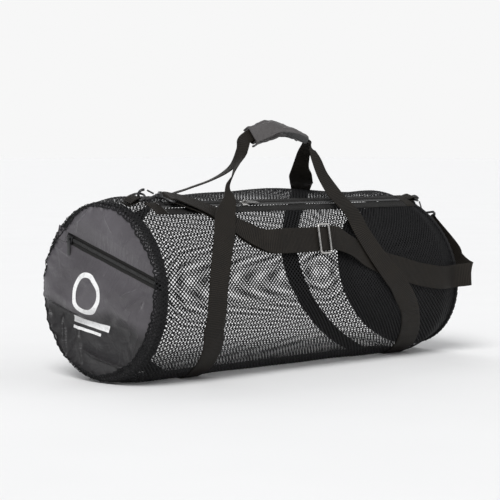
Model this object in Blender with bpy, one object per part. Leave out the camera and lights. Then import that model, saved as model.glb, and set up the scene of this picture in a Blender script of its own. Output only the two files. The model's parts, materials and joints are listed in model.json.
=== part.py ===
"""Mesh duffel bag for balls and sports gear, lying full on a floor. Metres, +Z up.

X runs along the bag, from the pocket end (-X) to the far end (+X), and Y from front to back. The origin is
on the floor under the bag's middle. The bag has rolled towards its front, so the tabs on its end seams lie
END_ROLL in front of the top and the zip, which runs beside their line, lies ZIP_ROLL. Angles round the bag
are measured from straight up and grow towards the front.
"""

import math

import bmesh
import bpy
from mathutils import Matrix, Vector

# ---------------------------------------------------------------- driving dimensions
RADIUS = 0.1550  # of the filled mesh tube
AXIS_HEIGHT = 0.1500  # of the tube's centre line: the load flattens the underside
WALL = 0.0015  # thickness that stands for the mesh cloth
ZIP_ROLL = math.radians(27)
END_ROLL = math.radians(17)
GAP = 0.0003  # kept between pieces that touch

# Each end: the end seam's X and its radius, and the X where the tube starts to draw in towards it. The load
# has slid towards the pocket, so the far end is slacker, and its panel leans in at the top.
POCKET_END = (-0.3800, 0.1480, -0.3350)
FAR_END = (0.3620, 0.1400, 0.3050)
FAR_LEAN = 0.18
BULGE = 0.0110  # height of the swelling behind the zip
BULGE_AT = (0.020, math.radians(-12))
BULGE_SPREAD = (0.160, math.radians(17))

WEBBING_WIDTH = 0.042
WEBBING = 0.0018  # thickness
ON_SKIN = GAP + WEBBING / 2  # lift of a webbing's middle when it lies on the mesh
SKIN_FLOOR = GAP + WEBBING  # the mesh's lowest level, and the lift of the webbing's outer face

PANEL = 0.0012  # thickness of the nylon end panels
PANEL_INSET = 0.0040  # of an end panel's edge from the end seam
PANEL_PROUD = 0.0050  # from the end seam to an end panel's inner face
PANEL_FLOOR = 0.0075
PANEL_X = -POCKET_END[0] + PANEL_PROUD
BINDING_RADIUS = 0.0030  # half the thickness of the end seam's binding
POCKET_DEPTH = 0.0150

ZIP_TAPE = 0.0010  # thickness
MAIN_ZIP = (-0.3150, 0.2830)  # its ends
MAIN_ZIP_WIDE = 0.0168  # half the width of its slot in the mesh
MAIN_SLIDER_X = -0.128
POCKET_ZIP_HEIGHT = 0.0590  # of the pocket zip over the panel's centre
POCKET_ZIP = (-0.1050, 0.1250)  # its ends, measured along it from the panel's middle
POCKET_ZIP_WIDE = 0.0128  # half the width of its opening in the panel
POCKET_SLIDER_AT = -0.094

FRONT_ROOT = math.radians(112.5)  # where the front handle leaves the mesh
REAR_ROOT = math.radians(-67.5)
ROOT_CLEARANCE = math.radians(2)
ANGLE_STEP = math.radians(7.5)
CUT_ROWS = 4  # rows over which a slanted strap turns to the line that its end is cut along

RING_DEPTH = 0.016
RING_HALF = 0.013
RING_WIRE = 0.00175
HOOK_WIRE = 0.0020
HOOK_NOSE = 0.0080  # radius of the hook's nose, at the wire's middle
HOOK_COLLAR = 0.0250  # from the ring to the hook's collar
EYE_BAR = 0.0470  # from the ring to the bar that the strap goes round
EYE_HALF = 0.0262
EYE_WIRE = 0.0017
STRAP_TURN = EYE_WIRE + GAP + WEBBING / 2 + 0.0004  # radius of the strap's turn round an eye

SIDES = 48  # of the round pieces
X_AXIS = Vector((1, 0, 0))


# ---------------------------------------------------------------- materials
def material(name, colour, roughness, metallic=0.0):
    made = bpy.data.materials.new(name)
    made.use_nodes = True
    shader = made.node_tree.nodes["Principled BSDF"]
    shader.inputs["Base Color"].default_value = (*colour, 1)
    shader.inputs["Roughness"].default_value = roughness
    shader.inputs["Metallic"].default_value = metallic
    return made


def all_materials():
    return {
        "mesh": material("mesh", (0.02, 0.02, 0.02), 0.7),
        "nylon": material("nylon", (0.09, 0.09, 0.10), 0.45),
        "binding": material("binding", (0.02, 0.02, 0.02), 0.8),
        "webbing": material("webbing", (0.04, 0.04, 0.035), 0.75),
        "zip_tape": material("zip_tape", (0.03, 0.03, 0.03), 0.7),
        "zip_coil": material("zip_coil", (0.03, 0.03, 0.03), 0.4),
        "nickel": material("nickel", (0.6, 0.59, 0.57), 0.3, 1.0),
        "black_metal": material("black_metal", (0.03, 0.03, 0.03), 0.3, 0.6),
        "velcro": material("velcro", (0.02, 0.02, 0.02), 0.9),
    }


# ---------------------------------------------------------------- the bag's surface
def skin_radius(x):
    """Radius of the mesh tube, which draws in towards the seam at each end."""
    end_x, end_radius, start = POCKET_END if x < 0 else FAR_END
    t = min(max((x - start) / (end_x - start), 0), 1)
    return RADIUS - (RADIUS - end_radius) * t * t * (3 - 2 * t)


def bulge(x, angle):
    """How far the load pushes the mesh out behind the zip."""
    along = (x - BULGE_AT[0]) / BULGE_SPREAD[0]
    around = math.remainder(angle - BULGE_AT[1], 2 * math.pi) / BULGE_SPREAD[1]
    return BULGE * math.exp(-along * along - around * around)


def on_skin(x, angle, lift=0.0):
    """The point at x and angle, lift outside the mesh, with the underside flattened by the floor."""
    r = skin_radius(x) + bulge(x, angle) + lift
    z = max(AXIS_HEIGHT + r * math.cos(angle), SKIN_FLOOR - lift)
    return Vector((x + leaned(x, z), -r * math.sin(angle), z))


def leaned(x, z):
    """How far the far end's lean moves a point along X."""
    t = min(max((x - 0.2) / (FAR_END[0] - 0.2), 0), 1)
    return FAR_LEAN * t * t * (3 - 2 * t) * (AXIS_HEIGHT - z)


def down_round(angle):
    """The direction round the mesh, towards the front and down, at angle."""
    return Vector((0, -math.cos(angle), -math.sin(angle)))


def out_of_bag(angle):
    """The direction out of the mesh at angle."""
    return Vector((0, -math.sin(angle), math.cos(angle)))


def end_outline(radius, floor, sides=SIDES):
    """The (y, z) points of a disc across the bag, flattened underneath at floor."""
    angles = [2 * math.pi * k / sides for k in range(sides)]
    return [(-radius * math.sin(a), max(AXIS_HEIGHT + radius * math.cos(a), floor)) for a in angles]


def frame(origin, u, n):
    """A matrix whose local X, Y and Z are u, n x u and n."""
    u = Vector(u).normalized()
    n = Vector(n).normalized()
    v = n.cross(u)
    turn = Matrix((u, v, n)).transposed().to_4x4()
    return Matrix.Translation(origin) @ turn


# ---------------------------------------------------------------- making objects
def add(name, mesh, mat, matrix=None, sharp=28):
    """Puts a mesh in the scene as one named piece."""
    mesh.name = name
    mesh.shade_smooth()
    mesh.set_sharp_from_angle(angle=math.radians(sharp))
    mesh.materials.clear()
    mesh.materials.append(mat)
    piece = bpy.data.objects.new(name, mesh)
    bpy.context.scene.collection.objects.link(piece)
    if matrix is not None:
        piece.matrix_world = matrix
    return piece


def put_origin(piece, point):
    """Moves a piece's origin onto its joint's axis and leaves its shape where it is."""
    piece.data.transform(Matrix.Translation(-Vector(point)))
    piece.location = point


def finish(bm):
    bmesh.ops.recalc_face_normals(bm, faces=bm.faces)
    mesh = bpy.data.meshes.new("shape")
    bm.to_mesh(mesh)
    bm.free()
    return mesh


def loft(sections, cyclic=False):
    """Bridges a list of closed sections, each with the same number of points."""
    bm = bmesh.new()
    rings = [[bm.verts.new(p) for p in section] for section in sections]
    count = len(rings[0])
    pairs = list(zip(rings, rings[1:])) + ([(rings[-1], rings[0])] if cyclic else [])
    for a, b in pairs:
        for k in range(count):
            after = (k + 1) % count
            bm.faces.new((a[k], a[after], b[after], b[k]))
    if not cyclic:
        bm.faces.new(rings[0])
        bm.faces.new(rings[-1])
    return finish(bm)


def prism(outline, low, high):
    """A flat outline in local X and Y, extruded from low to high along local Z."""
    bm = bmesh.new()
    face = bm.faces.new([bm.verts.new((x, y, low)) for x, y in outline])
    top = bmesh.ops.extrude_face_region(bm, geom=[face])["geom"]
    moved = [v for v in top if isinstance(v, bmesh.types.BMVert)]
    bmesh.ops.translate(bm, verts=moved, vec=(0, 0, high - low))
    return finish(bm)


def box(low, high):
    """A block between two corners."""
    outline = [(low[0], low[1]), (high[0], low[1]), (high[0], high[1]), (low[0], high[1])]
    return prism(outline, low[2], high[2])


def lathe(profile, sides=16):
    """Turns (distance along X, radius) points round the local X axis."""
    sections = []
    for along, r in profile:
        turns = [2 * math.pi * k / sides for k in range(sides)]
        sections.append([Vector((along, r * math.cos(t), r * math.sin(t))) for t in turns])
    return loft(sections)


def tube_ring(low, high, inner, outer, sides=16):
    """A round bush along local X, open right through."""
    corners = [(low, inner), (high, inner), (high, outer), (low, outer)]
    turns = [2 * math.pi * k / sides for k in range(sides)]
    sections = [[Vector((u, r * math.cos(t), r * math.sin(t))) for u, r in corners] for t in turns]
    return loft(sections, cyclic=True)


def wire(points, radius, cyclic=False, roundness=2):
    """A round wire along points, made as a bevelled curve."""
    curve = bpy.data.curves.new("wire", "CURVE")
    curve.dimensions = "3D"
    curve.bevel_depth = radius
    curve.bevel_resolution = roundness
    curve.use_fill_caps = True
    spline = curve.splines.new("POLY")
    spline.points.add(len(points) - 1)
    for point, place in zip(spline.points, points):
        point.co = (*place, 1)
    spline.use_cyclic_u = cyclic
    guide = bpy.data.objects.new("wire", curve)
    mesh = bpy.data.meshes.new_from_object(guide)
    bpy.data.objects.remove(guide)
    bm = bmesh.new()
    bm.from_mesh(mesh)
    bmesh.ops.remove_doubles(bm, verts=bm.verts, dist=0.000001)
    return finish(bm)


def combine(piece, meshes, operation="UNION"):
    """Adds meshes, given in the piece's own frame, to it or cuts them from it."""
    for k, mesh in enumerate(meshes):
        tool = bpy.data.objects.new(f"{piece.name}_tool_{k}", mesh)
        bpy.context.scene.collection.objects.link(tool)
        tool.matrix_world = piece.matrix_world
        tool.hide_render = True
        tool.display_type = "WIRE"
        step = piece.modifiers.new(f"{operation.lower()}_{k}", "BOOLEAN")
        step.operation = operation
        step.object = tool
    return piece


def keep_side(rows):
    """Turns the across directions that point backwards, so that a strap doesn't flip over along its run."""
    for before, after in zip(rows, rows[1:]):
        if Vector(before[3:6]).dot(Vector(after[3:6])) < 0:
            after[3:6] = [-v for v in after[3:6]]


def smooth_run(controls, spacing):
    """Rows about spacing apart on a Catmull-Rom curve through the control rows."""
    rows = [list(row) for row in controls]
    keep_side(rows)
    rows = [[2 * a - b for a, b in zip(rows[0], rows[1])], *rows]
    rows.append([2 * a - b for a, b in zip(rows[-1], rows[-2])])
    out = []
    for p, a, b, q in zip(rows, rows[1:], rows[2:], rows[3:]):
        steps = max(1, round((Vector(b[:3]) - Vector(a[:3])).length / spacing))
        for k in range(steps):
            t = k / steps
            weights = (
                -0.5 * t + t * t - 0.5 * t**3,
                1 - 2.5 * t * t + 1.5 * t**3,
                0.5 * t + 2 * t * t - 1.5 * t**3,
                -0.5 * t * t + 0.5 * t**3,
            )
            out.append([sum(w * v for w, v in zip(weights, column)) for column in zip(p, a, b, q)])
    out.append(rows[-2])
    return out


def frames_along(run):
    """(place, tangent, across, normal) at each row of place and across, square to each other."""
    places = [Vector(row[:3]) for row in run]
    found = []
    for k, (place, row) in enumerate(zip(places, run)):
        tangent = (places[min(k + 1, len(places) - 1)] - places[max(k - 1, 0)]).normalized()
        across = Vector(row[3:6])
        across = (across - across.dot(tangent) * tangent).normalized()
        found.append((place, tangent, across, tangent.cross(across)))
    return found


def ribbon(run, widths, thickness, cut=None):
    """A flat strap whose middle follows run. widths holds one width, or one for each row. cut is the direction
    that both ends are cut along, instead of square across: the rows near an end lean towards it by degrees."""
    if isinstance(widths, float):
        widths = [widths] * len(run)
    sections = []
    for k, ((place, _, across, normal), width) in enumerate(zip(frames_along(run), widths)):
        rows_in = min(k, len(run) - 1 - k)
        if cut and rows_in < CUT_ROWS:
            across = across.lerp(cut / cut.dot(across), 1 - rows_in / CUT_ROWS)
        a, n = across * width / 2, normal * thickness / 2
        sections.append([place - a - n, place + a - n, place + a + n, place - a + n])
    return loft(sections)


def row(place, across):
    """One row of a strap's run: where its middle is, and which way its width lies."""
    return [*place, *across]


def skin_row(x, degrees, lift, lean=0.0):
    """A row of a band that goes round the bag, its width along X. lean turns the width towards round."""
    angle = math.radians(degrees)
    return row(on_skin(x, angle, lift), X_AXIS + lean * down_round(angle))


def strap_row(x, degrees, lift, lean=0.0):
    """A row of a strap that goes along the bag, its width round the bag."""
    angle = math.radians(degrees)
    return row(on_skin(x, angle, lift), down_round(angle) + lean * X_AXIS)


# ---------------------------------------------------------------- mesh tube and end panels
def make_mesh_body(mats):
    """The mesh tube, open at both ends and along the slot where the zip is sewn in."""
    angles = [ANGLE_STEP * k for k in range(SIDES)]
    stations = [POCKET_END[0], -0.368, -0.357, -0.346, -0.335, -0.245, -0.155, -0.08]
    stations += [0.02, 0.11, 0.2, 0.29, 0.31, 0.33, 0.35, FAR_END[0]]
    outer = [[on_skin(x, a) for a in angles] for x in stations]
    inner = [[on_skin(x, a, -WALL) for a in angles] for x in reversed(stations)]
    body = add("mesh_body", loft(outer + inner, cyclic=True), mats["mesh"])
    start, end = MAIN_ZIP
    cutter = box((start - 0.008, -MAIN_ZIP_WIDE, -0.02), (end + 0.008, MAIN_ZIP_WIDE, 0.02))
    cutter.transform(main_zip_frame())
    combine(body, [cutter], "DIFFERENCE")


def main_zip_frame(x=0.0):
    """Local X along the main zip, Y across it towards the back and Z out of the bag."""
    straight = on_skin(0, ZIP_ROLL)
    return frame((x, straight.y, straight.z), X_AXIS, out_of_bag(ZIP_ROLL))


def pocket_zip_frame(along=0.0):
    """Local X along the pocket zip towards the front, Y up across it and Z out of the end panel."""
    run = down_round(END_ROLL)
    up = out_of_bag(END_ROLL)
    middle = Vector((-PANEL_X - PANEL, 0, AXIS_HEIGHT)) + up * POCKET_ZIP_HEIGHT
    return frame(middle + run * along, run, (-1, 0, 0))


def cut_outline(outline, keep_above, level):
    """The part of a closed (x, y) outline above or below y = level."""
    sign = 1 if keep_above else -1
    kept = []
    for (x0, y0), (x1, y1) in zip(outline, outline[1:] + outline[:1]):
        inside, next_inside = sign * (y0 - level) > 0, sign * (y1 - level) > 0
        if inside:
            kept.append((x0, y0))
        if inside != next_inside:
            share = (level - y0) / (y1 - y0)
            kept.append((x0 + share * (x1 - x0), level))
    return kept


def make_end_panels(mats):
    radius = FAR_END[1] - PANEL_INSET
    far = frame((FAR_END[0] + PANEL_PROUD, 0, AXIS_HEIGHT), (0, 1, 0), (1, 0, FAR_LEAN))
    far_outline = [(y, z - AXIS_HEIGHT) for y, z in end_outline(radius, PANEL_FLOOR)]
    add("far_end_panel", prism(far_outline, 0, PANEL), mats["nylon"], far)

    back = frame((POCKET_END[0] + POCKET_DEPTH - PANEL_PROUD, 0, 0), (0, 1, 0), (1, 0, 0))
    back_outline = end_outline(POCKET_END[1] - 0.003, 0.0060)
    add("pocket_back_panel", prism(back_outline, -PANEL, 0), mats["nylon"], back)

    # the front of the pocket, in the pocket zip's own frame
    zip_frame = pocket_zip_frame()
    to_zip = zip_frame.inverted()
    outline = end_outline(POCKET_END[1] - PANEL_INSET, PANEL_FLOOR)
    local = [to_zip @ Vector((-PANEL_X - PANEL, y, z)) for y, z in outline]
    flat = [(p.x, p.y) for p in local]
    lower = prism(cut_outline(flat, False, -POCKET_ZIP_WIDE), -PANEL, 0)
    upper = prism(cut_outline(flat, True, POCKET_ZIP_WIDE), -PANEL, 0)
    add("pocket_front_lower", lower, mats["nylon"], zip_frame)
    add("pocket_front_upper", upper, mats["nylon"], zip_frame)


def make_bindings(mats):
    """The tape that binds the seam at each end of the tube."""
    for name, (end_x, end_radius, _) in (("pocket_end_binding", POCKET_END), ("far_end_binding", FAR_END)):
        outline = end_outline(end_radius - 0.0005, BINDING_RADIUS + 0.0005)
        x = end_x + math.copysign(BINDING_RADIUS + 0.0005, end_x)
        points = [(x + leaned(x, z), y, z) for y, z in outline]
        add(name, wire(points, BINDING_RADIUS, cyclic=True, roundness=1), mats["binding"], sharp=80)


# ---------------------------------------------------------------- zips
def slider_body():
    """The slider's channel, which rides over the closed teeth, in the zip's frame."""
    half = 0.0065
    channel = [
        (-0.0056, 0.0003),
        (-0.0056, 0.0040),
        (-0.0046, 0.0050),
        (0.0046, 0.0050),
        (0.0056, 0.0040),
        (0.0056, 0.0003),
        (0.0042, 0.0003),
        (0.0042, 0.0031),
        (-0.0042, 0.0031),
        (-0.0042, 0.0003),
    ]
    return loft([[Vector((u, y, z)) for y, z in channel] for u in (-half, half)])


def bridge():
    """The arch on the slider that the pull hangs from."""
    half_width, inner, outer, low, spring = 0.0012, 0.0031, 0.0044, 0.0045, 0.0070
    steps = [math.pi * k / 8 for k in range(9)]
    out = [(outer * math.cos(t), spring + outer * math.sin(t) * 0.75) for t in steps]
    back = [(inner * math.cos(t), spring + inner * math.sin(t) * 0.75) for t in reversed(steps)]
    outline = [(outer, low), *out, (-outer, low), (-inner, low), *back, (inner, low)]
    return loft([[Vector((u, y, z)) for u, z in outline] for y in (-half_width, half_width)])


def tongue(length, half_width, start):
    """Outline of a pull: straight sides and a round end."""
    turns = [math.pi / 2 - math.pi * k / 8 for k in range(9)]
    middle = length - half_width
    tip = [(middle + half_width * math.cos(t), half_width * math.sin(t)) for t in turns]
    return [(start, -half_width), (start, half_width), *tip]


def make_zip(name, start, end, slot_half, matrix, mats, sides):
    """Two tapes and the closed teeth between them, flush with the cloth around them."""
    inner, top = 0.0033, -0.0002
    low = top - ZIP_TAPE
    rear = box((start, inner, low), (end, slot_half - GAP, top))
    front = box((start, -slot_half + GAP, low), (end, -inner, top))
    add(f"{name}_tape_{sides[0]}", rear, mats["zip_tape"], matrix)
    add(f"{name}_tape_{sides[1]}", front, mats["zip_tape"], matrix)
    half = [(0.0030, -0.0010), (0.0030, 0.0014), (0.0018, 0.0026)]
    outline = half + [(-y, z) for y, z in reversed(half)]
    teeth = loft([[Vector((u, y, z)) for y, z in outline] for u in (start, end)])
    add(f"{name}_chain", teeth, mats["zip_coil"], matrix)


def make_main_zip(mats):
    make_zip("main_zip", *MAIN_ZIP, MAIN_ZIP_WIDE, main_zip_frame(), mats, ("rear", "front"))
    slider = add("main_zip_slider", slider_body(), mats["nickel"], main_zip_frame(MAIN_SLIDER_X))
    combine(slider, [bridge()])
    # the pull turns on its own cross bar, under the bridge, and its tip rests on the tape
    outline = tongue(0.036, 0.0042, -0.0011)
    lie = Matrix.Rotation(math.radians(5.5), 4, "Y")
    height = Matrix.Translation((0, 0, 0.0072))
    pull = add(
        "main_zip_pull",
        prism(outline, -0.0007, 0.0007),
        mats["nickel"],
        main_zip_frame(MAIN_SLIDER_X) @ height @ lie,
    )
    window = box((0.0010, -0.0023, -0.005), (0.0072, 0.0023, 0.005))
    hole = prism(tongue(0.033, 0.0018, 0.029), -0.005, 0.005)
    combine(pull, [window, hole], "DIFFERENCE")
    for name, x in (("left", MAIN_ZIP[0] - 0.0120), ("right", MAIN_ZIP[1] + 0.0120)):
        patch = box((x - 0.0110, -0.0175, 0.0004), (x + 0.0110, 0.0175, 0.0016))
        add(f"main_zip_end_patch_{name}", patch, mats["webbing"], main_zip_frame())


def make_pocket_zip(mats):
    matrix = pocket_zip_frame()
    make_zip("pocket_zip", *POCKET_ZIP, POCKET_ZIP_WIDE, matrix, mats, ("upper", "lower"))
    start = POCKET_ZIP[0] - 0.0008
    patch = box((start - 0.0150, -0.0150, 0.0004), (start, 0.0150, 0.0014))
    add("pocket_zip_end_patch", patch, mats["nylon"], matrix)
    slider = add("pocket_zip_slider", slider_body(), mats["black_metal"], pocket_zip_frame(POCKET_SLIDER_AT))
    # a rivet that the pull hangs from, turned so that its own axis points out of the panel
    rivet = lathe([(0.0045, 0.0012), (0.0082, 0.0012), (0.0082, 0.0027), (0.0092, 0.0020)], 12)
    rivet.transform(Matrix.Rotation(-math.pi / 2, 4, "Y"))
    combine(slider, [rivet])
    # the pull hangs straight down, whatever the zip's tilt
    hang = Matrix.Rotation(-math.pi / 2 + END_ROLL, 4, "Z")
    pull = add(
        "pocket_zip_pull",
        prism(tongue(0.028, 0.0036, -0.0036), 0.0058, 0.0072),
        mats["black_metal"],
        pocket_zip_frame(POCKET_SLIDER_AT) @ hang,
    )
    eye = lathe([(-0.02, 0.0017), (0.02, 0.0017)], 12)
    eye.transform(Matrix.Rotation(-math.pi / 2, 4, "Y"))
    combine(pull, [eye], "DIFFERENCE")


# ---------------------------------------------------------------- webbing bands and handles
def make_band(name, root, bottom, root_x, bottom_x, mats):
    """Webbing sewn to the mesh, from a handle's root round to the middle of the underside. It leaves the root
    at a slant and straightens as it goes under."""
    steps = round(abs(bottom - root) / ANGLE_STEP)
    slope = 2 * (bottom_x - root_x) / (abs(bottom - root) * RADIUS)
    sections = []
    for k in range(steps + 1):
        t = k / steps
        angle = root + (bottom - root) * t
        x = root_x + (bottom_x - root_x) * t * (2 - t)
        half = WEBBING_WIDTH / 2 * math.hypot(1, slope * (1 - t))
        corners = [(x - half, GAP), (x + half, GAP), (x + half, SKIN_FLOOR), (x - half, SKIN_FLOOR)]
        sections.append([on_skin(u, angle, lift) for u, lift in corners])
    # the two bands of one ring stop just short of each other under the bag
    for corner in sections[-1]:
        corner.y = math.copysign(GAP, sections[-2][0].y)
    add(name, loft(sections), mats["webbing"])


def make_bands(mats):
    make_band("front_left_band", FRONT_ROOT, math.pi, -0.268, -0.228, mats)
    make_band("front_right_band", FRONT_ROOT, math.pi, 0.226, 0.283, mats)
    make_band("rear_left_band", REAR_ROOT, -math.pi, -0.225, -0.228, mats)
    make_band("rear_right_band", REAR_ROOT, -math.pi, 0.205, 0.283, mats)


GRIP = [
    row((-0.082, -0.030, 0.401), (-0.25, 0.40, 0.88)),
    row((-0.045, -0.030, 0.412), (-0.15, 0.45, 0.88)),
    row((-0.010, -0.031, 0.422), (0.00, 0.60, 0.80)),
    row((0.030, -0.033, 0.411), (0.15, 0.88, 0.30)),
    row((0.066, -0.037, 0.396), (0.28, 0.94, 0.12)),
]
FLAP_HINGE = (0, -0.020, 0.424)  # on the fold that the flap opens about
GRIP_SPLIT = 0.0026  # from the grip's middle to the middle of each handle in it


def in_grip(side):
    """The rows of a handle inside the grip: side is 1 for the front handle, on top, and -1 for the rear one."""
    rows = []
    for place, _, across, normal in frames_along(GRIP):
        rows.append(row(place + normal * side * GRIP_SPLIT, across))
    return rows


def front_handle_rows():
    left = [
        skin_row(-0.268, 110.5, 0.0014),
        skin_row(-0.270, 102, 0.0020),
        skin_row(-0.271, 92, 0.0028),
        skin_row(-0.262, 76, 0.0040),
        skin_row(-0.240, 58, 0.0095, -0.05),
        skin_row(-0.211, 43, 0.0160, -0.25),
        skin_row(-0.177, 31, 0.0200, -0.45),
        row((-0.151, -0.060, 0.320), (0.78, 0.60, 0.00)),
        row((-0.131, -0.049, 0.338), (0.70, 0.70, 0.05)),
        row((-0.114, -0.042, 0.356), (0.50, 0.78, 0.20)),
        row((-0.098, -0.037, 0.376), (0.12, 0.75, 0.50)),
    ]
    right = [
        row((0.082, -0.054, 0.366), (0.70, 0.55, 0.20)),
        row((0.088, -0.065, 0.335), (0.88, 0.22, 0.15)),
        row((0.096, -0.085, 0.301), (0.95, 0.10, 0.10)),
        skin_row(0.099, 43, 0.0150),
        skin_row(0.103, 57, 0.0100),
        skin_row(0.122, 71, 0.0070),
        skin_row(0.148, 83, 0.0065),
        skin_row(0.172, 91, 0.0058),
        skin_row(0.190, 98, 0.0040),
        skin_row(0.207, 104, 0.0025),
        skin_row(0.222, 110.5, 0.0014),
    ]
    return left + in_grip(1) + right


def rear_handle_rows():
    left = [
        skin_row(-0.225, -65.5, 0.0014),
        skin_row(-0.218, -57, 0.0035),
        skin_row(-0.200, -46, 0.0110),
        row((-0.166, 0.088, 0.298), (0.72, 0.68, 0.10)),
        row((-0.131, 0.063, 0.314), (0.70, 0.70, 0.10)),
        row((-0.106, 0.034, 0.330), (0.68, 0.72, 0.12)),
        row((-0.094, 0.006, 0.347), (0.50, 0.75, 0.30)),
        row((-0.092, -0.018, 0.374), (0.12, 0.72, 0.55)),
    ]
    right = [
        row((0.076, -0.020, 0.370), (-0.40, 0.85, -0.10)),
        row((0.088, -0.004, 0.345), (-0.70, 0.70, 0.00)),
        row((0.110, 0.018, 0.325), (-0.80, 0.60, 0.00)),
        skin_row(0.142, -16, 0.0100),
        skin_row(0.168, -30, 0.0075),
        skin_row(0.186, -44, 0.0045),
        skin_row(0.198, -56, 0.0025),
        skin_row(0.204, -65.5, 0.0014),
    ]
    return left + in_grip(-1) + right


FOLDED_WIDTH = 0.021  # of a handle where it is folded lengthwise in the grip
SPREAD = 0.06  # length over which it opens out again beyond the grip


def handle_widths(run):
    """Full width on the legs, drawn in to the folded width inside the grip."""
    widths = []
    for x in (r[0] for r in run):
        past = max(GRIP[0][0] - x, x - GRIP[-1][0])
        t = min(max(past / SPREAD, 0), 1)
        widths.append(FOLDED_WIDTH + (WEBBING_WIDTH - FOLDED_WIDTH) * t * t * (3 - 2 * t))
    return widths


def make_handle(name, controls, root, mats):
    run = smooth_run(controls, 0.014)
    piece = add(name, ribbon(run, handle_widths(run), WEBBING, cut=X_AXIS), mats["webbing"])
    put_origin(piece, (0, *on_skin(0, root, ON_SKIN)[1:]))


def grip_shell(first, last, inside, thickness):
    """A length of cloth round the grip. first and last are where on its flat oval section the cloth starts and
    ends, in twelves of degrees from the mouth, and inside is the lift of its inner face."""
    half_width, half_height = 0.0140, 0.0052
    mouth = math.copysign(math.pi / 2, -frames_along(GRIP)[2][3].y)
    sections = []
    for place, _, across, normal in frames_along(smooth_run(GRIP, 0.006)[2:-2]):
        outer, inner = [], []
        for k in range(first, last + 1):
            turn = mouth + math.radians(12 * k)
            for side, lift in ((outer, inside + thickness), (inner, inside)):
                a = (half_width + lift) * math.copysign(abs(math.cos(turn)) ** 0.4, math.cos(turn))
                n = (half_height + lift) * math.copysign(abs(math.sin(turn)) ** 0.4, math.sin(turn))
                side.append(place + across * a + normal * n)
        sections.append(outer + inner[::-1])
    return loft(sections)


def make_grip(mats):
    """A cloth wrap. Its sleeve is open towards the front, where a flap closes over it with touch tape."""
    rear_root = (0, *on_skin(0, REAR_ROOT + ROOT_CLEARANCE, ON_SKIN)[1:])
    parts = [
        ("grip_sleeve", grip_shell(5, 25, 0.0, 0.0014), "nylon", rear_root),
        ("grip_loop_strip", grip_shell(6, 9, 0.0018, 0.0006), "velcro", rear_root),
        ("grip_hook_strip", grip_shell(6, 9, 0.0029, 0.0006), "velcro", FLAP_HINGE),
        ("grip_flap", grip_shell(-10, 10, 0.0043, 0.0013), "nylon", FLAP_HINGE),
    ]
    for name, mesh, mat, origin in parts:
        put_origin(add(name, mesh, mats[mat]), origin)


# ---------------------------------------------------------------- rings, hooks and shoulder strap
def square_to(direction, u):
    """The unit vector nearest to direction that is square to u."""
    return (direction - direction.dot(u) * u).normalized()


def ring_frames():
    """For each side, where its tab starts, the lifts of the tab and of its ring's bar, then the frames of the
    ring and of the hook. Each frame's X leads away from the bar and its Y lies nearly along the bar."""
    out = out_of_bag(END_ROLL)
    along_bar = down_round(END_ROLL)
    rise, fall, dip, yaw = math.radians(23), math.radians(22), math.radians(2), math.radians(17)
    left_bar = on_skin(-0.3510, END_ROLL, 0.0075)
    left_run = X_AXIS * math.cos(rise) + out * math.sin(rise)
    left_end = left_bar + left_run * RING_DEPTH
    left_hook = (X_AXIS * math.cos(yaw) + along_bar * math.sin(yaw)) * math.cos(dip) - out * math.sin(dip)
    left_across = square_to(along_bar, left_hook)
    right_bar = on_skin(FAR_END[0] + 0.0120, END_ROLL, 0.0088)
    right_run = X_AXIS * math.cos(fall) - out * math.sin(fall)
    right_end = right_bar + right_run * RING_DEPTH
    right_hook = Vector((0.16, -0.52, -0.84)).normalized()
    right_across = square_to(along_bar, right_hook)
    return {
        "left": {
            "base": -0.3690,
            "low": 0.0016,
            "bar": 0.0075,
            "ring": frame(left_bar, left_run, left_run.cross(along_bar)),
            "hook": frame(left_end, left_hook, left_hook.cross(left_across)),
        },
        "right": {
            "base": FAR_END[0] - 0.0060,
            "low": 0.0038,
            "bar": 0.0088,
            "ring": frame(right_bar, right_run, right_run.cross(along_bar)),
            "hook": frame(right_end, right_hook, right_hook.cross(right_across)),
        },
    }


def ring_wire():
    """A D-shaped ring: a straight bar along Y at X = 0, and a bow beyond it."""
    steps = [math.pi / 2 - math.pi * k / 14 for k in range(15)]
    bow = [(RING_DEPTH * math.cos(t) ** 0.8 if abs(t) < 1.57 else 0, RING_HALF * math.sin(t), 0) for t in steps]
    return wire(bow, RING_WIRE, cyclic=True)


def hook_wire():
    """The hook, from its collar round the nose to the tip. The ring's bow passes at the origin."""
    turns = [math.radians(60 + 15 * k) for k in range(15)]
    nose = [(HOOK_NOSE * math.cos(t), 0, HOOK_NOSE * math.sin(t)) for t in turns]
    shank = [(HOOK_COLLAR, 0, 0), (0.0205, 0, 0.0010), (0.0150, 0, 0.0055), (0.0095, 0, 0.0078)]
    return wire(shank + nose, HOOK_WIRE)


def swivel_pin():
    """The collar, pin and head that the hook turns on."""
    pin, collar, head = 0.0017, 0.0036, 0.0034
    low, high, end = HOOK_COLLAR + 0.0014, HOOK_COLLAR + 0.0090, HOOK_COLLAR + 0.0106
    profile = [(HOOK_COLLAR - 0.0024, 0.0026), (HOOK_COLLAR - 0.0014, collar), (low, collar), (low, pin)]
    profile += [(high, pin), (high, head), (end, head * 0.7)]
    return lathe(profile, 14)


def eye_wire():
    """The eye's frame: from one side of its barrel, round the strap's bar and back to the other side."""
    neck = HOOK_COLLAR + 0.0048
    half = [(neck, 0.0034), (neck + 0.0035, 0.0080), (EYE_BAR - 0.0065, EYE_HALF - 0.0015)]
    half += [(EYE_BAR - 0.0025, EYE_HALF), (EYE_BAR, EYE_HALF - 0.0022)]
    points = [(u, y, 0) for u, y in half] + [(u, -y, 0) for u, y in reversed(half)]
    return wire(points, EYE_WIRE)


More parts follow.
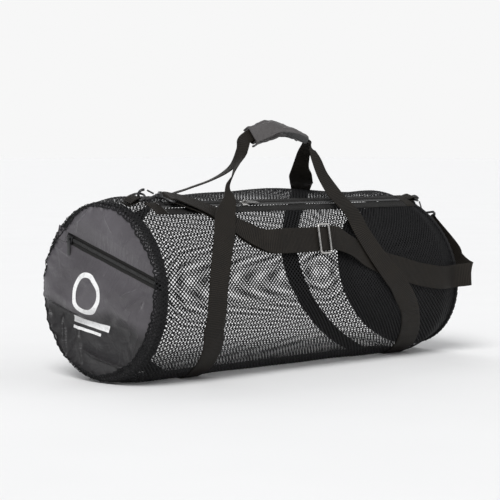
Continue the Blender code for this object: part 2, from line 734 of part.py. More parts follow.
def make_ring_tab(side, at, mats):
    """A short loop of webbing from the end seam round the ring's bar."""
    base, low, lift = at["base"], at["low"], at["bar"]
    bar_x = base + 0.018
    turn = RING_WIRE + GAP + 0.0011
    steps = [-math.pi / 2 + math.pi * k / 6 for k in range(7)]
    profile = [(base, low), (bar_x - 0.006, max(low + 0.0005, lift - turn - 0.0012))]
    profile += [(bar_x + turn * math.cos(t), lift + turn * math.sin(t)) for t in steps]
    profile += [(bar_x - 0.006, lift + turn - 0.0004), (base + 0.001, low + 0.0040)]
    run = [row(on_skin(x, END_ROLL, height), down_round(END_ROLL)) for x, height in profile]
    add(f"{side}_ring_tab", ribbon(run, 0.0210, 0.0014), mats["webbing"])


def make_hardware(mats):
    for side, at in ring_frames().items():
        make_ring_tab(side, at, mats)
        add(f"{side}_d_ring", ring_wire(), mats["black_metal"], at["ring"])
        hook = add(f"{side}_hook_body", hook_wire(), mats["black_metal"], at["hook"])
        combine(hook, [swivel_pin()])
        gate_from, gate_to = Vector((0.0185, 0, -0.0034)), Vector((0.0060, 0, -HOOK_NOSE + 0.0004))
        gate = wire([gate_from * 0, gate_to - gate_from], 0.0014)
        at_gate = at["hook"] @ Matrix.Translation(gate_from)
        add(f"{side}_hook_gate", gate, mats["black_metal"], at_gate)
        eye = add(
            f"{side}_hook_eye",
            tube_ring(HOOK_COLLAR + 0.0018, HOOK_COLLAR + 0.0086, 0.0020, 0.0044),
            mats["black_metal"],
            at["hook"],
        )
        combine(eye, [eye_wire()])


# The straight stretch of strap that the adjuster slides on hangs off the bag, steeper than the mesh under it.
STRAP_LEVEL = math.radians(62)
STRAP_TILT = math.radians(80)
STRAP_LIFT = 0.0140
UNDER_STRAP = 0.0062  # from the strap's middle to the middle of its doubled end, under it
ADJUSTER_X = -0.012


def turn_rows(centre, run, out, across, first, last, steps):
    """Rows of a strap's turn round a bar, with a short straight lead at each end. run and out are the turn's
    two directions."""
    places = []
    for k in range(steps + 1):
        t = math.radians(first + (last - first) * k / steps)
        places.append(centre + (run * math.cos(t) + out * math.sin(t)) * STRAP_TURN)
    places = [places[0] + run * 0.006, *places, places[-1] + run * 0.006]
    return [row(place, across) for place in places]


def hanging_row(x, under=0.0):
    """A row of the strap's straight stretch, or of the doubled end that lies under it."""
    place = on_skin(x, STRAP_LEVEL, STRAP_LIFT) - out_of_bag(STRAP_TILT) * under
    return row(place, down_round(STRAP_TILT))


def strap_run():
    """The shoulder strap: back from its sewn end under itself, round the left eye, along the front of the bag,
    past the far end, and up to the right eye."""
    at = ring_frames()
    under = [
        hanging_row(-0.048, UNDER_STRAP),
        hanging_row(-0.075, UNDER_STRAP),
        hanging_row(-0.105, UNDER_STRAP),
        strap_row(-0.140, 60, 0.0050),
        strap_row(-0.170, 54, 0.0036),
        strap_row(-0.199, 44, 0.0040),
        strap_row(-0.226, 34, 0.0050),
        strap_row(-0.255, 27.5, 0.0068),
    ]
    left = at["left"]["hook"]
    bar = left @ Vector((EYE_BAR, 0, 0))
    run, out = Vector(left.col[0][:3]), Vector(left.col[2][:3])
    out = out if out.z > 0 else -out
    round_left = turn_rows(bar, run, out, Vector(left.col[1][:3]), 270, 90, 6)
    over = [
        strap_row(-0.258, 27, 0.0122),
        strap_row(-0.226, 34, 0.0086),
        strap_row(-0.199, 44, 0.0076),
        strap_row(-0.170, 54, 0.0080),
        strap_row(-0.143, 60, 0.0105),
        hanging_row(-0.118),
        hanging_row(-0.095),
        hanging_row(-0.045),
        hanging_row(0.000),
        hanging_row(0.022),
        strap_row(0.060, 66, 0.0100),
        strap_row(0.102, 73, 0.0035),
        strap_row(0.150, 79, 0.0016),
        strap_row(0.197, 83.5, 0.0016),
        strap_row(0.245, 88, 0.0018),
        strap_row(0.300, 91, 0.0040),
        strap_row(0.345, 91, 0.0080),
        row((0.374, -0.165, 0.150), (0, -0.05, -1)),
        row((0.391, -0.157, 0.152), (0, 0.05, -1)),
        row((0.397, -0.141, 0.156), (0, 0.20, -1)),
        row((0.397, -0.120, 0.170), (0, 0.50, -0.85)),
        row((0.394, -0.104, 0.192), (0, 0.72, -0.68)),
    ]
    right = at["right"]["hook"]
    bar = right @ Vector((EYE_BAR, 0, 0))
    run, out = Vector(right.col[0][:3]), Vector(right.col[2][:3])
    out = out if out.x > 0 else -out
    across = Vector(right.col[1][:3])
    round_right = turn_rows(bar, run, out, across, 90, 270, 6)
    tail = [row(bar + run * 0.034 - out * 0.0030, across)]
    head = smooth_run(under, 0.02)
    main = smooth_run([round_left[-1], *over, round_right[0]], 0.016)
    return head + round_left[:-1] + main + round_right[1:] + tail


def make_shoulder_strap(mats):
    run = strap_run()
    add("shoulder_strap", ribbon(run, WEBBING_WIDTH, WEBBING), mats["webbing"])


def adjuster_frame():
    """Local X along the strap, Y round the bag towards the back and Z out of the bag."""
    return frame(on_skin(ADJUSTER_X, STRAP_LEVEL, STRAP_LIFT), X_AXIS, out_of_bag(STRAP_TILT))


def make_adjuster(mats):
    """A three-bar slider: its two outer bars lie over the strap and the middle one under it."""
    half_x, half_y, corner, wire_radius = 0.0130, 0.0250, 0.005, 0.0021
    height = WEBBING / 2 + GAP + wire_radius + 0.0003
    loop = []
    for cx, cy, first in ((1, 1, 0), (-1, 1, 90), (-1, -1, 180), (1, -1, 270)):
        for k in range(5):
            t = math.radians(first + 22.5 * k)
            x = cx * (half_x - corner) + corner * math.cos(t)
            y = cy * (half_y - corner) + corner * math.sin(t)
            loop.append((x, y, height))
    piece = add("strap_adjuster", wire(loop, wire_radius, cyclic=True), mats["nickel"], adjuster_frame())
    low = -(WEBBING / 2 + 0.0006 + 0.0014)
    side = half_y - 0.0004
    bar = [(0, side, height), (0, side, low + 0.0012), (0, side - 0.0014, low)]
    bar += [(x, -y, z) for x, y, z in reversed(bar)]
    combine(piece, [wire(bar, 0.0014)])


# ---------------------------------------------------------------- build
def centre_on_origin():
    """Moves the whole bag along and across, so that the origin is under the middle of its bounding box."""
    bpy.context.view_layer.update()
    pieces = [piece for piece in bpy.data.objects if not piece.hide_render]
    points = [piece.matrix_world @ vertex.co for piece in pieces for vertex in piece.data.vertices]
    low = Vector(min(point[k] for point in points) for k in range(3))
    high = Vector(max(point[k] for point in points) for k in range(3))
    middle = (low + high) / 2
    shift = Matrix.Translation((-middle.x, -middle.y, 0))
    for piece in bpy.data.objects:
        piece.matrix_world = shift @ piece.matrix_world


def main():
    for old in list(bpy.data.objects):
        bpy.data.objects.remove(old)
    mats = all_materials()
    make_mesh_body(mats)
    make_end_panels(mats)
    make_bindings(mats)
    make_main_zip(mats)
    make_pocket_zip(mats)
    make_bands(mats)
    make_handle("front_handle", front_handle_rows(), FRONT_ROOT - ROOT_CLEARANCE, mats)
    make_handle("rear_handle", rear_handle_rows(), REAR_ROOT + ROOT_CLEARANCE, mats)
    make_grip(mats)
    make_hardware(mats)
    make_shoulder_strap(mats)
    make_adjuster(mats)
    centre_on_origin()


main()
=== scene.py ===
"""Looks of the mesh ball bag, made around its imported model. Metres, in the model's frame.

The cloth and webbing follow the same surface, angles and strap routes as the model's own source. Routes
are written in that source's frame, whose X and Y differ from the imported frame's by SHIFT. Angles round the
bag are measured from straight up and grow towards the front (-Y).
"""

import json
import math

import bpy
import numpy as np
from mathutils import Matrix, Vector


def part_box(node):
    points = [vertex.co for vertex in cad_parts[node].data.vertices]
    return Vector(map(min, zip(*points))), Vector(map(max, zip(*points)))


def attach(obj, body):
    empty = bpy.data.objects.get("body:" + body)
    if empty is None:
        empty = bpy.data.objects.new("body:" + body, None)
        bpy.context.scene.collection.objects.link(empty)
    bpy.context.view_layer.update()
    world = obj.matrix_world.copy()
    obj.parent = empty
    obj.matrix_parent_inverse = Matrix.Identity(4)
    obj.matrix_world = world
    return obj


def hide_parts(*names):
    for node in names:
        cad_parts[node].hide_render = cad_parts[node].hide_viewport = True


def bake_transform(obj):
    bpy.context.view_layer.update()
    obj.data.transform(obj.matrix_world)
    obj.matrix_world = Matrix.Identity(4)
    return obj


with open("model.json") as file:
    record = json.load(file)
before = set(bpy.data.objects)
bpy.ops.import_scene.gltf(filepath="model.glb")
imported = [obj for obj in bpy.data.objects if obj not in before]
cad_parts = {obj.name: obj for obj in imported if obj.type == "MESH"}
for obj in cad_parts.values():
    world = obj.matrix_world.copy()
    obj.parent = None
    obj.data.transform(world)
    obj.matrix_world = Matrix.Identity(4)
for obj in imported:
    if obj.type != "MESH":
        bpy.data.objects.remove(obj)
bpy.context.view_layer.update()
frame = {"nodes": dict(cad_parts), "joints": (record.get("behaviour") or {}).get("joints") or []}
JOINTS = {joint["name"]: joint for joint in frame["joints"]}

# ---------------------------------------------------------------- the bag's driving sizes, as in the model
# Of each end seam: its X, its radius, and the X where the tube starts to draw in towards it.
POCKET_END = (-0.3800, 0.1480, -0.3350)
FAR_END = (0.3620, 0.1400, 0.3050)
FAR_LEAN = 0.18  # how far the far end leans out in X for each metre down
AXIS_HEIGHT = 0.1500
BULGE = 0.0110
BULGE_AT = (0.020, math.radians(-12))
BULGE_SPREAD = (0.160, math.radians(17))
ZIP_ROLL = math.radians(27)  # the main zip's angle round the bag
END_ROLL = math.radians(17)  # the same for the end rings, and the tilt of the pocket's zip
MAIN_ZIP = (-0.3150, 0.2830)
MAIN_ZIP_SLOT = 0.0158  # half the width that the mesh leaves open for the main zip
MAIN_TAPES = 0.0205  # half the width over both its tapes
POCKET_ZIP = (-0.1050, 0.1250)
POCKET_ZIP_HEIGHT = 0.0590
POCKET_TAPES = 0.0150
POCKET_PATCH = 0.0130
COIL_EDGE = 0.0031  # where a zip's tape comes out from under its coil
GAP = 0.0003
WEBBING_WIDTH = 0.042
WEBBING = 0.0018
ON_SKIN = GAP + WEBBING / 2  # height of the middle of a webbing that is sewn to the mesh
SKIN_FLOOR = GAP + WEBBING  # the mesh stays this far above the ground, so that the bands fit under it
RIB_PITCH = 0.0032
RIB = 0.00022  # height of the webbing's cross ribs
FINE = 0.0008  # spacing of the sections that draw them
PANEL_PROUD = 0.0050
PANEL = 0.0012
FRONT_ROOT = math.radians(112.5)  # the angles where the handles leave the mesh
REAR_ROOT = math.radians(-67.5)
EYE_BAR = 0.0470  # from a hook's swivel to its eye's bar
STRAP_TURN = 0.0033  # radius of the strap's turn round an eye's bar

low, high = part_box("mesh_body")
RADIUS = (high.y - low.y) / 2
SHIFT = Vector((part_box("main_zip_chain")[0].x - MAIN_ZIP[0], (high.y + low.y) / 2, 0))
SHIFT_ROW = np.array(SHIFT)
X_AXIS = Vector((1, 0, 0))


# ---------------------------------------------------------------- the bag's surface
def ease(t):
    """A smooth step from 0 to 1."""
    t = np.clip(t, 0, 1)
    return t * t * (3 - 2 * t)


def skin_radius(x):
    """The round tube's radius, which draws in towards both end seams."""
    near = (RADIUS - POCKET_END[1]) * ease((x - POCKET_END[2]) / (POCKET_END[0] - POCKET_END[2]))
    far = (RADIUS - FAR_END[1]) * ease((x - FAR_END[2]) / (FAR_END[0] - FAR_END[2]))
    return RADIUS - np.where(x < 0, near, far)


def turned(angle):
    """An angle brought within half a turn of 0."""
    return (angle + math.pi) % (2 * math.pi) - math.pi


def bulge(x, angle):
    """How far the top of the bag is pushed up at its middle."""
    along = (x - BULGE_AT[0]) / BULGE_SPREAD[0]
    around = turned(angle - BULGE_AT[1]) / BULGE_SPREAD[1]
    return BULGE * np.exp(-along * along - around * around)


def slack(x, angle):
    """How far the knit sinks between what pushes it out: soft hollows, and small puckers at the end seams."""
    away = ease((0.33 - np.abs(x)) / 0.12)
    hollows = np.sin(19 * x + 2.1 * np.sin(2 * angle + 0.7)) * np.sin(3 * angle + 7 * x + 0.4)
    hollows = hollows + 0.6 * np.sin(31 * x - 5 * angle) * np.sin(2 * angle - 11 * x + 1.3)
    seam = np.minimum(x - POCKET_END[0], FAR_END[0] - x)
    pleats = np.sin(58 * angle + 2.5 * np.sin(5 * angle)) + 0.5 * np.sin(91 * angle + 1.0)
    return 0.0016 * away * (hollows - 1.2) + 0.0006 * np.exp(-seam / 0.014) * (pleats - 1.2)


def on_skin(x, angle, lift=0.0):
    """Points at x and angle (numbers or arrays), lift outside the mesh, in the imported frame."""
    x, angle, lift = np.broadcast_arrays(np.asarray(x, float), angle, lift)
    r = skin_radius(x) + bulge(x, angle) + slack(x, angle) + lift
    z = np.maximum(AXIS_HEIGHT + r * np.cos(angle), SKIN_FLOOR - lift)
    lean = FAR_LEAN * ease((x - 0.2) / (FAR_END[0] - 0.2)) * (AXIS_HEIGHT - z)
    return np.stack([x + lean, -r * np.sin(angle), z], axis=-1) + SHIFT_ROW


def down_round(angle):
    return Vector((0, -math.cos(angle), -math.sin(angle)))


def out_of_bag(angle):
    return Vector((0, -math.sin(angle), math.cos(angle)))


def axes(origin, u, n):
    """A matrix whose local X, Y and Z are u, n x u and n."""
    u, n = Vector(u).normalized(), Vector(n).normalized()
    return Matrix.Translation(origin) @ Matrix((u, n.cross(u), n)).transposed().to_4x4()


# ---------------------------------------------------------------- materials
def shader_input(mat, socket):
    return mat.node_tree.nodes["Principled BSDF"].inputs[socket]


def new_material(name, base, roughness, **sockets):
    made = bpy.data.materials.new(name)
    made.use_nodes = True
    values = {"Base Color": (*base, 1), "Roughness": roughness, **sockets}
    for socket, value in values.items():
        shader_input(made, socket).default_value = value
    return made


def node(mat, kind, **settings):
    made = mat.node_tree.nodes.new(kind)
    for key, value in settings.items():
        if key in made.inputs:
            made.inputs[key].default_value = value
        else:
            setattr(made, key, value)
    return made


def link(mat, source, target):
    mat.node_tree.links.new(source, target)


def coordinates(mat, stretch=(1, 1, 1)):
    """Object coordinates, which are the frame's metres, stretched along each axis."""
    place = node(mat, "ShaderNodeTexCoord")
    mapping = node(mat, "ShaderNodeMapping", Scale=stretch)
    link(mat, place.outputs["Object"], mapping.inputs["Vector"])
    return mapping.outputs["Vector"]


def grain(mat, scale, detail=4.0, stretch=(1, 1, 1), distortion=0.0):
    made = node(mat, "ShaderNodeTexNoise", Scale=scale, Detail=detail, Distortion=distortion)
    link(mat, coordinates(mat, stretch), made.inputs["Vector"])
    return made.outputs["Fac"]


def shade_between(mat, factor, dark, light, low=0.35, high=0.65):
    """Base colour that runs from dark to light with factor."""
    ramp = node(mat, "ShaderNodeValToRGB")
    ramp.color_ramp.elements[0].position = low
    ramp.color_ramp.elements[1].position = high
    ramp.color_ramp.elements[0].color = (*dark, 1)
    ramp.color_ramp.elements[1].color = (*light, 1)
    link(mat, factor, ramp.inputs["Fac"])
    link(mat, ramp.outputs["Color"], shader_input(mat, "Base Color"))
    return ramp


def vary_roughness(mat, factor, low, high):
    spread = node(mat, "ShaderNodeMapRange")
    spread.inputs["To Min"].default_value = low
    spread.inputs["To Max"].default_value = high
    link(mat, factor, spread.inputs["Value"])
    link(mat, spread.outputs["Result"], shader_input(mat, "Roughness"))


def raise_by(mat, heights):
    """Bump from a list of (factor, depth in metres), one after another."""
    before = None
    for factor, depth in heights:
        bump = node(mat, "ShaderNodeBump", Distance=depth, Strength=1.0)
        link(mat, factor, bump.inputs["Height"])
        if before:
            link(mat, before, bump.inputs["Normal"])
        before = bump.outputs["Normal"]
    link(mat, before, shader_input(mat, "Normal"))


def ribs(mat, attribute, pitch):
    """A wave that repeats every pitch along a piece's own attribute, from 0 to 1."""
    read = node(mat, "ShaderNodeAttribute", attribute_name=attribute)
    turn = node(mat, "ShaderNodeMath", operation="MULTIPLY")
    turn.inputs[1].default_value = 2 * math.pi / pitch
    wave = node(mat, "ShaderNodeMath", operation="SINE")
    lifted = node(mat, "ShaderNodeMath", operation="MULTIPLY_ADD")
    lifted.inputs[1].default_value = 0.5
    lifted.inputs[2].default_value = 0.5
    link(mat, read.outputs["Fac"], turn.inputs[0])
    link(mat, turn.outputs[0], wave.inputs[0])
    link(mat, wave.outputs[0], lifted.inputs[0])
    return lifted.outputs[0]


def mixed(mat, a, b, share):
    blend = node(mat, "ShaderNodeMath", operation="MULTIPLY_ADD")
    blend.inputs[1].default_value = share
    link(mat, a, blend.inputs[0])
    rest = node(mat, "ShaderNodeMath", operation="MULTIPLY")
    rest.inputs[1].default_value = 1 - share
    link(mat, b, rest.inputs[0])
    link(mat, rest.outputs[0], blend.inputs[2])
    return blend.outputs[0]


def knit_material():
    made = new_material("knit", (0.010, 0.010, 0.011), 0.6, **{"Specular IOR Level": 0.15})
    yarn = grain(made, 900, 2, (1, 1, 2.5))
    shade_between(made, yarn, (0.005, 0.005, 0.0055), (0.014, 0.014, 0.015))
    vary_roughness(made, grain(made, 120), 0.42, 0.7)
    raise_by(made, [(yarn, 0.0003)])
    return made


def nylon_material(name, dark, light, shaded=None):
    """Coated nylon. The last argument, if given, is a colour of painted shade, which the cloth takes where a
    piece's shade attribute is 1.
    """
    gloss = 0.5 if max(light) > 0.03 else 0.28
    sheen = {"Sheen Weight": 0.06, "Sheen Roughness": 0.35, "Specular IOR Level": gloss}
    made = new_material(name, light, 0.4, **sheen)
    cloudy = grain(made, 9, 5)
    ramp = shade_between(made, cloudy, dark, light, 0.3, 0.7)
    if shaded:
        read = node(made, "ShaderNodeAttribute", attribute_name="shade")
        mix = node(made, "ShaderNodeMix", data_type="RGBA")
        link(made, read.outputs["Fac"], mix.inputs[0])
        link(made, ramp.outputs["Color"], mix.inputs[6])
        mix.inputs[7].default_value = (*shaded, 1)
        link(made, mix.outputs[2], shader_input(made, "Base Color"))
    vary_roughness(made, grain(made, 26, 6), 0.27, 0.46)
    crease = grain(made, 48, 8, (1, 1, 1.4), 1.2)
    weave = grain(made, 2600, 1)
    raise_by(made, [(crease, 0.0016), (weave, 0.00008)])
    return made


def webbing_material():
    made = new_material("webbing", (0.012, 0.010, 0.008), 0.62, **{"Specular IOR Level": 0.17})
    rib = ribs(made, "along", RIB_PITCH)
    warp = ribs(made, "across", 0.0021)
    worn = grain(made, 40, 6)
    fuzz = grain(made, 1500, 2)
    # base colour: uneven wear mixed with painted shade, lighter on the rib tops and darker in the grooves
    # between them
    wear_and_groove_shade = mixed(made, rib, worn, 0.55)
    shade_between(made, wear_and_groove_shade, (0.0035, 0.0029, 0.0022), (0.021, 0.0174, 0.0136), 0.2, 0.8)
    vary_roughness(made, worn, 0.5, 0.72)
    raise_by(made, [(rib, 0.00035), (warp, 0.00018), (fuzz, 0.0001)])
    return made


def tape_material(name, base, lighter):
    made = new_material(name, base, 0.7, **{"Specular IOR Level": 0.2})
    twill = ribs(made, "along", 0.0012)
    fuzz = grain(made, 1200, 3)
    shade_between(made, fuzz, base, lighter)
    raise_by(made, [(twill, 0.00018), (fuzz, 0.00012)])
    return made


def metal_material(name, dark, light, rough, **sockets):
    made = new_material(name, light, rough[0], **sockets)
    scuff = grain(made, 180, 6, (1, 1, 1), 0.6)
    shade_between(made, scuff, dark, light, 0.3, 0.55)
    vary_roughness(made, scuff, *rough)
    raise_by(made, [(grain(made, 700, 3), 0.00004)])
    return made


def touch_tape_material():
    made = new_material("touch_tape", (0.012, 0.012, 0.012), 0.9, **{"Sheen Weight": 0.3})
    hooks = node(made, "ShaderNodeTexVoronoi", Scale=1400.0)
    link(made, coordinates(made), hooks.inputs["Vector"])
    shade_between(made, hooks.outputs["Distance"], (0.006, 0.006, 0.006), (0.03, 0.03, 0.03), 0.1, 0.6)
    raise_by(made, [(hooks.outputs["Distance"], 0.0004)])
    return made


def print_material():
    made = new_material("print", (0.8, 0.8, 0.8), 0.5, **{"Specular IOR Level": 0.4})
    shade_between(made, grain(made, 160, 6), (0.66, 0.66, 0.66), (0.86, 0.86, 0.86), 0.3, 0.5)
    raise_by(made, [(grain(made, 900, 3), 0.0001)])
    return made


MATS = {
    "knit": knit_material(),
    # the nylon's last colour is painted shade, for where the pocket's cloth has dropped in, lies under the
    # mesh's rim or lies inside
    "nylon": nylon_material("nylon", (0.060, 0.055, 0.061), (0.100, 0.093, 0.103), (0.009, 0.0085, 0.0088)),
    # painted shade: the far end's black nylon is given a far darker colour than the pocket's nylon, for the
    # shade inside the bag seen through the mesh
    "black_nylon_painted_shade": nylon_material("black_nylon_painted_shade", (0.006, 0.006, 0.0065), (0.011, 0.011, 0.0115)),
    "grip_nylon": nylon_material("grip_nylon", (0.045, 0.041, 0.041), (0.080, 0.074, 0.074)),
    "binding": tape_material("binding", (0.006, 0.006, 0.0065), (0.014, 0.014, 0.015)),
    "webbing": webbing_material(),
    "zip_tape": tape_material("zip_tape", (0.010, 0.010, 0.010), (0.022, 0.021, 0.020)),
    "zip_coil": metal_material("zip_coil", (0.012, 0.012, 0.012), (0.03, 0.03, 0.03), (0.3, 0.5)),
    "nickel": metal_material("nickel", (0.34, 0.335, 0.32), (0.50, 0.49, 0.475), (0.18, 0.36), Metallic=1.0),
    "black_metal": metal_material(
        "black_metal", (0.006, 0.006, 0.0065), (0.013, 0.013, 0.014), (0.22, 0.42), **{"Coat Weight": 0.15}
    ),
    "velcro": touch_tape_material(),
    "thread": tape_material("thread", (0.016, 0.016, 0.016), (0.04, 0.039, 0.037)),
    "print": print_material(),
}


# ---------------------------------------------------------------- mesh helpers
def put_in_scene(name, data):
    made = bpy.data.objects.new(name, data)
    bpy.context.scene.collection.objects.link(made)
    return made


def add(name, points, faces, mat, slot, body=None, **attributes):
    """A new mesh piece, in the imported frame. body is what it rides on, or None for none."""
    mesh = bpy.data.meshes.new(name)
    faces = faces.tolist() if isinstance(faces, np.ndarray) else faces
    mesh.from_pydata(np.asarray(points, float).reshape(-1, 3).tolist(), [], faces)
    for key, values in attributes.items():
        layer = mesh.attributes.new(key, "FLOAT", "POINT")
        layer.data.foreach_set("value", np.asarray(values, np.float32).ravel())
    mesh.validate()
    mesh.shade_smooth()
    mesh.materials.append(MATS[mat])
    piece = put_in_scene(name, mesh)
    if body:
        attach(piece, body)
    return piece


def grid_faces(rows, columns, wrap=False, base=0):
    """Quads of a grid of rows x columns points. wrap joins the last column to the first."""
    r, c = np.meshgrid(np.arange(rows - 1), np.arange(columns if wrap else columns - 1), indexing="ij")
    after = (c + 1) % columns
    here, there = r * columns, (r + 1) * columns
    quads = np.stack([here + c, here + after, there + after, there + c], -1)
    return quads.reshape(-1, 4) + base


def sheath(name, sections, along, across, mat, slot, body=None):
    """A closed tube through sections, an array of (rows, points round, 3), with a flat cap on each end."""
    rows, count = sections.shape[:2]
    faces = grid_faces(rows, count, wrap=True).tolist()
    faces.append(list(range(count))[::-1])
    faces.append([(rows - 1) * count + k for k in range(count)])
    spread = {"along": np.repeat(along, count), "across": np.tile(across, rows)}
    piece = add(name, sections, faces, mat, slot, body, **spread)
    piece.data.set_sharp_from_angle(angle=math.radians(50))
    return piece


def run_length(places):
    """The length along a run of points, at each of them."""
    steps = np.linalg.norm(np.diff(places, axis=0), axis=1)
    return np.concatenate([[0], np.cumsum(steps)])


# A webbing's section, as (share of half the width, share of half the thickness): flat faces and round edges.
FLAT = np.linspace(-0.965, 0.965, 9)
STRAP_PROFILE = np.array(
    [(s, 1.0) for s in FLAT] + [(0.992, 0.7), (1.0, 0.0), (0.992, -0.7)]
    + [(s, -1.0) for s in FLAT[::-1]] + [(-0.992, -0.7), (-1.0, 0.0), (-0.992, 0.7)]
)


def ribbed(length, thickness=WEBBING):
    """A webbing's thickness at each length along it."""
    return thickness + RIB * np.cos(2 * math.pi * np.asarray(length) / RIB_PITCH)


def strap_sections(frames, widths, thickness=WEBBING):
    """Sections of a strap from (place, tangent, across, normal) frames and a width for each."""
    place = np.array([f[0] for f in frames])[:, None]
    thickness = ribbed(run_length(place[:, 0]), thickness)[:, None, None]
    across = np.array([f[2] for f in frames])[:, None]
    normal = np.array([f[3] for f in frames])[:, None]
    half = np.asarray(widths, float)[:, None, None] / 2
    s, h = STRAP_PROFILE[:, 0][None, :, None], STRAP_PROFILE[:, 1][None, :, None]
    return place + across * half * s + normal * thickness / 2 * h


def keep_side(rows):
    """Turns round the across of each row that points the other way from the row before."""
    for before, after in zip(rows, rows[1:]):
        if Vector(before[3:6]).dot(Vector(after[3:6])) < 0:
            after[3:6] = [-v for v in after[3:6]]


def smooth_run(controls, spacing):
    """Rows about spacing apart on a Catmull-Rom curve through the control rows."""
    rows = [list(row) for row in controls]
    keep_side(rows)
    rows = [[2 * a - b for a, b in zip(rows[0], rows[1])], *rows]
    rows.append([2 * a - b for a, b in zip(rows[-1], rows[-2])])
    out = []
    for p, a, b, q in zip(rows, rows[1:], rows[2:], rows[3:]):
        steps = max(1, round((Vector(b[:3]) - Vector(a[:3])).length / spacing))
        for k in range(steps):
            t = k / steps
            weights = (
                -0.5 * t + t * t - 0.5 * t**3,
                1 - 2.5 * t * t + 1.5 * t**3,
                0.5 * t + 2 * t * t - 1.5 * t**3,
                -0.5 * t * t + 0.5 * t**3,
            )
            out.append([sum(w * v for w, v in zip(weights, column)) for column in zip(p, a, b, q)])
    out.append(rows[-2])
    return out


def frames_along(run):
    """(place, tangent, across, normal) at each row of place and across, square to each other."""
    places = [Vector(row[:3]) for row in run]
    found = []
    for k, (place, row) in enumerate(zip(places, run)):
        tangent = (places[min(k + 1, len(places) - 1)] - places[max(k - 1, 0)]).normalized()
        across = Vector(row[3:6])
        across = (across - across.dot(tangent) * tangent).normalized()
        found.append((place, tangent, across, tangent.cross(across)))
    return found


def packed_row(place, across):
    return [*place, *across]


def free_row(place, across):
    """A row chosen in the model source's frame."""
    return packed_row(Vector(place) + SHIFT, across)


def skin_row(x, degrees, lift, lean=0.0):
    """A row of a band that goes round the bag, its width along X. lean turns the width towards round."""
    angle = math.radians(degrees)
    return packed_row(on_skin(x, angle, lift), X_AXIS + lean * down_round(angle))


def strap_row(x, degrees, lift, lean=0.0):
    """A row of a strap that goes along the bag, its width round the bag."""
    angle = math.radians(degrees)
    return packed_row(on_skin(x, angle, lift), down_round(angle) + lean * X_AXIS)


STITCH = (0.0030, 0.0006, 0.00045)  # length, width and height of one stitch
STITCH_PITCH = 0.0040
CLOSE_STITCHES = 0.0033


def stitch_row(name, runs, body, pitch=STITCH_PITCH):
    """Rows of thread, each a run of (point, normal) that the stitches lie along. One piece holds them all."""
    points, faces = [], []
    long, wide, tall = STITCH
    shape = [(-0.5, 0, -0.4), (-0.3, -0.5, 0.1), (-0.3, 0.5, 0.1), (-0.25, 0, 1)]
    shape += [(0.25, 0, 1), (0.3, -0.5, 0.1), (0.3, 0.5, 0.1), (0.5, 0, -0.4)]
    skin = [(0, 1, 3), (0, 3, 2), (1, 5, 4, 3), (3, 4, 6, 2)]
    skin += [(5, 7, 4), (4, 7, 6), (0, 2, 6, 7), (0, 7, 5, 1)]
    for run in runs:
        places = np.array([p for p, _ in run], float)
        normals = np.array([n for _, n in run], float)
        length = run_length(places)
        for at in np.arange(pitch / 2, length[-1], pitch):
            middle = np.array([np.interp(at, length, places[:, k]) for k in range(3)])
            ahead = np.array([np.interp(min(at + 0.001, length[-1]), length, places[:, k]) for k in range(3)])
            up = np.array([np.interp(at, length, normals[:, k]) for k in range(3)])
            direction = ahead - middle
            if np.linalg.norm(direction) < 1e-7:
                continue
            direction = direction / np.linalg.norm(direction)
            up = up - up.dot(direction) * direction
            up = up / np.linalg.norm(up)
            side = np.cross(up, direction)
            base = len(points)
            points += [middle + direction * long * a + side * wide * b + up * tall * c for a, b, c in shape]
            faces += [[base + k for k in face] for face in skin]
    return add(name, points, faces, "thread", "webbing", body)


# ---------------------------------------------------------------- camera, floor and light
AZIMUTH = math.radians(-45.1)
ELEVATION = math.radians(3.2)
AIM = (-0.0286, 0.2035)  # what the camera looks at: right of the bag's middle, and above the ground
CAMERA_AWAY = 3.207
LENS = 129.6


def make_camera():
    level = math.cos(ELEVATION)
    back = Vector((math.sin(AZIMUTH) * level, -math.cos(AZIMUTH) * level, math.sin(ELEVATION)))
    right = Vector((math.cos(AZIMUTH), math.sin(AZIMUTH), 0))
    target = SHIFT + AIM[0] * right + Vector((0, 0, AIM[1]))
    camera = put_in_scene("camera", bpy.data.cameras.new("camera"))
    camera.data.lens = LENS
    camera.data.sensor_width = 36
    camera.data.clip_end = 200
    camera.location = target + back * CAMERA_AWAY
    camera.rotation_mode = "QUATERNION"
    camera.rotation_quaternion = (-back).to_track_quat("-Z", "Y")
    bpy.context.scene.camera = camera


FLOOR = 60  # half the floor's width


def make_stage():
    corners = [(-FLOOR, -FLOOR, 0), (FLOOR, -FLOOR, 0), (FLOOR, FLOOR, 0), (-FLOOR, FLOOR, 0)]
    mesh = bpy.data.meshes.new("floor")
    mesh.from_pydata(corners, [], [(0, 1, 2, 3)])
    paper = new_material("paper", (0.84, 0.84, 0.84), 0.9, **{"Specular IOR Level": 0.1})
    shade_between(paper, grain(paper, 3, 2), (0.835, 0.835, 0.835), (0.845, 0.845, 0.845))
    mesh.materials.append(paper)
    floor = put_in_scene("floor", mesh)


def make_light(name, place, strength, softness):
    """A broad soft light from the direction of place. softness is the angle that it fills, in degrees."""
    lamp = bpy.data.lights.new(name, "SUN")
    lamp.energy = strength
    lamp.angle = math.radians(softness)
    light = put_in_scene(name, lamp)
    light.location = place
    light.rotation_mode = "QUATERNION"
    light.rotation_quaternion = (-Vector(place)).to_track_quat("-Z", "Y")


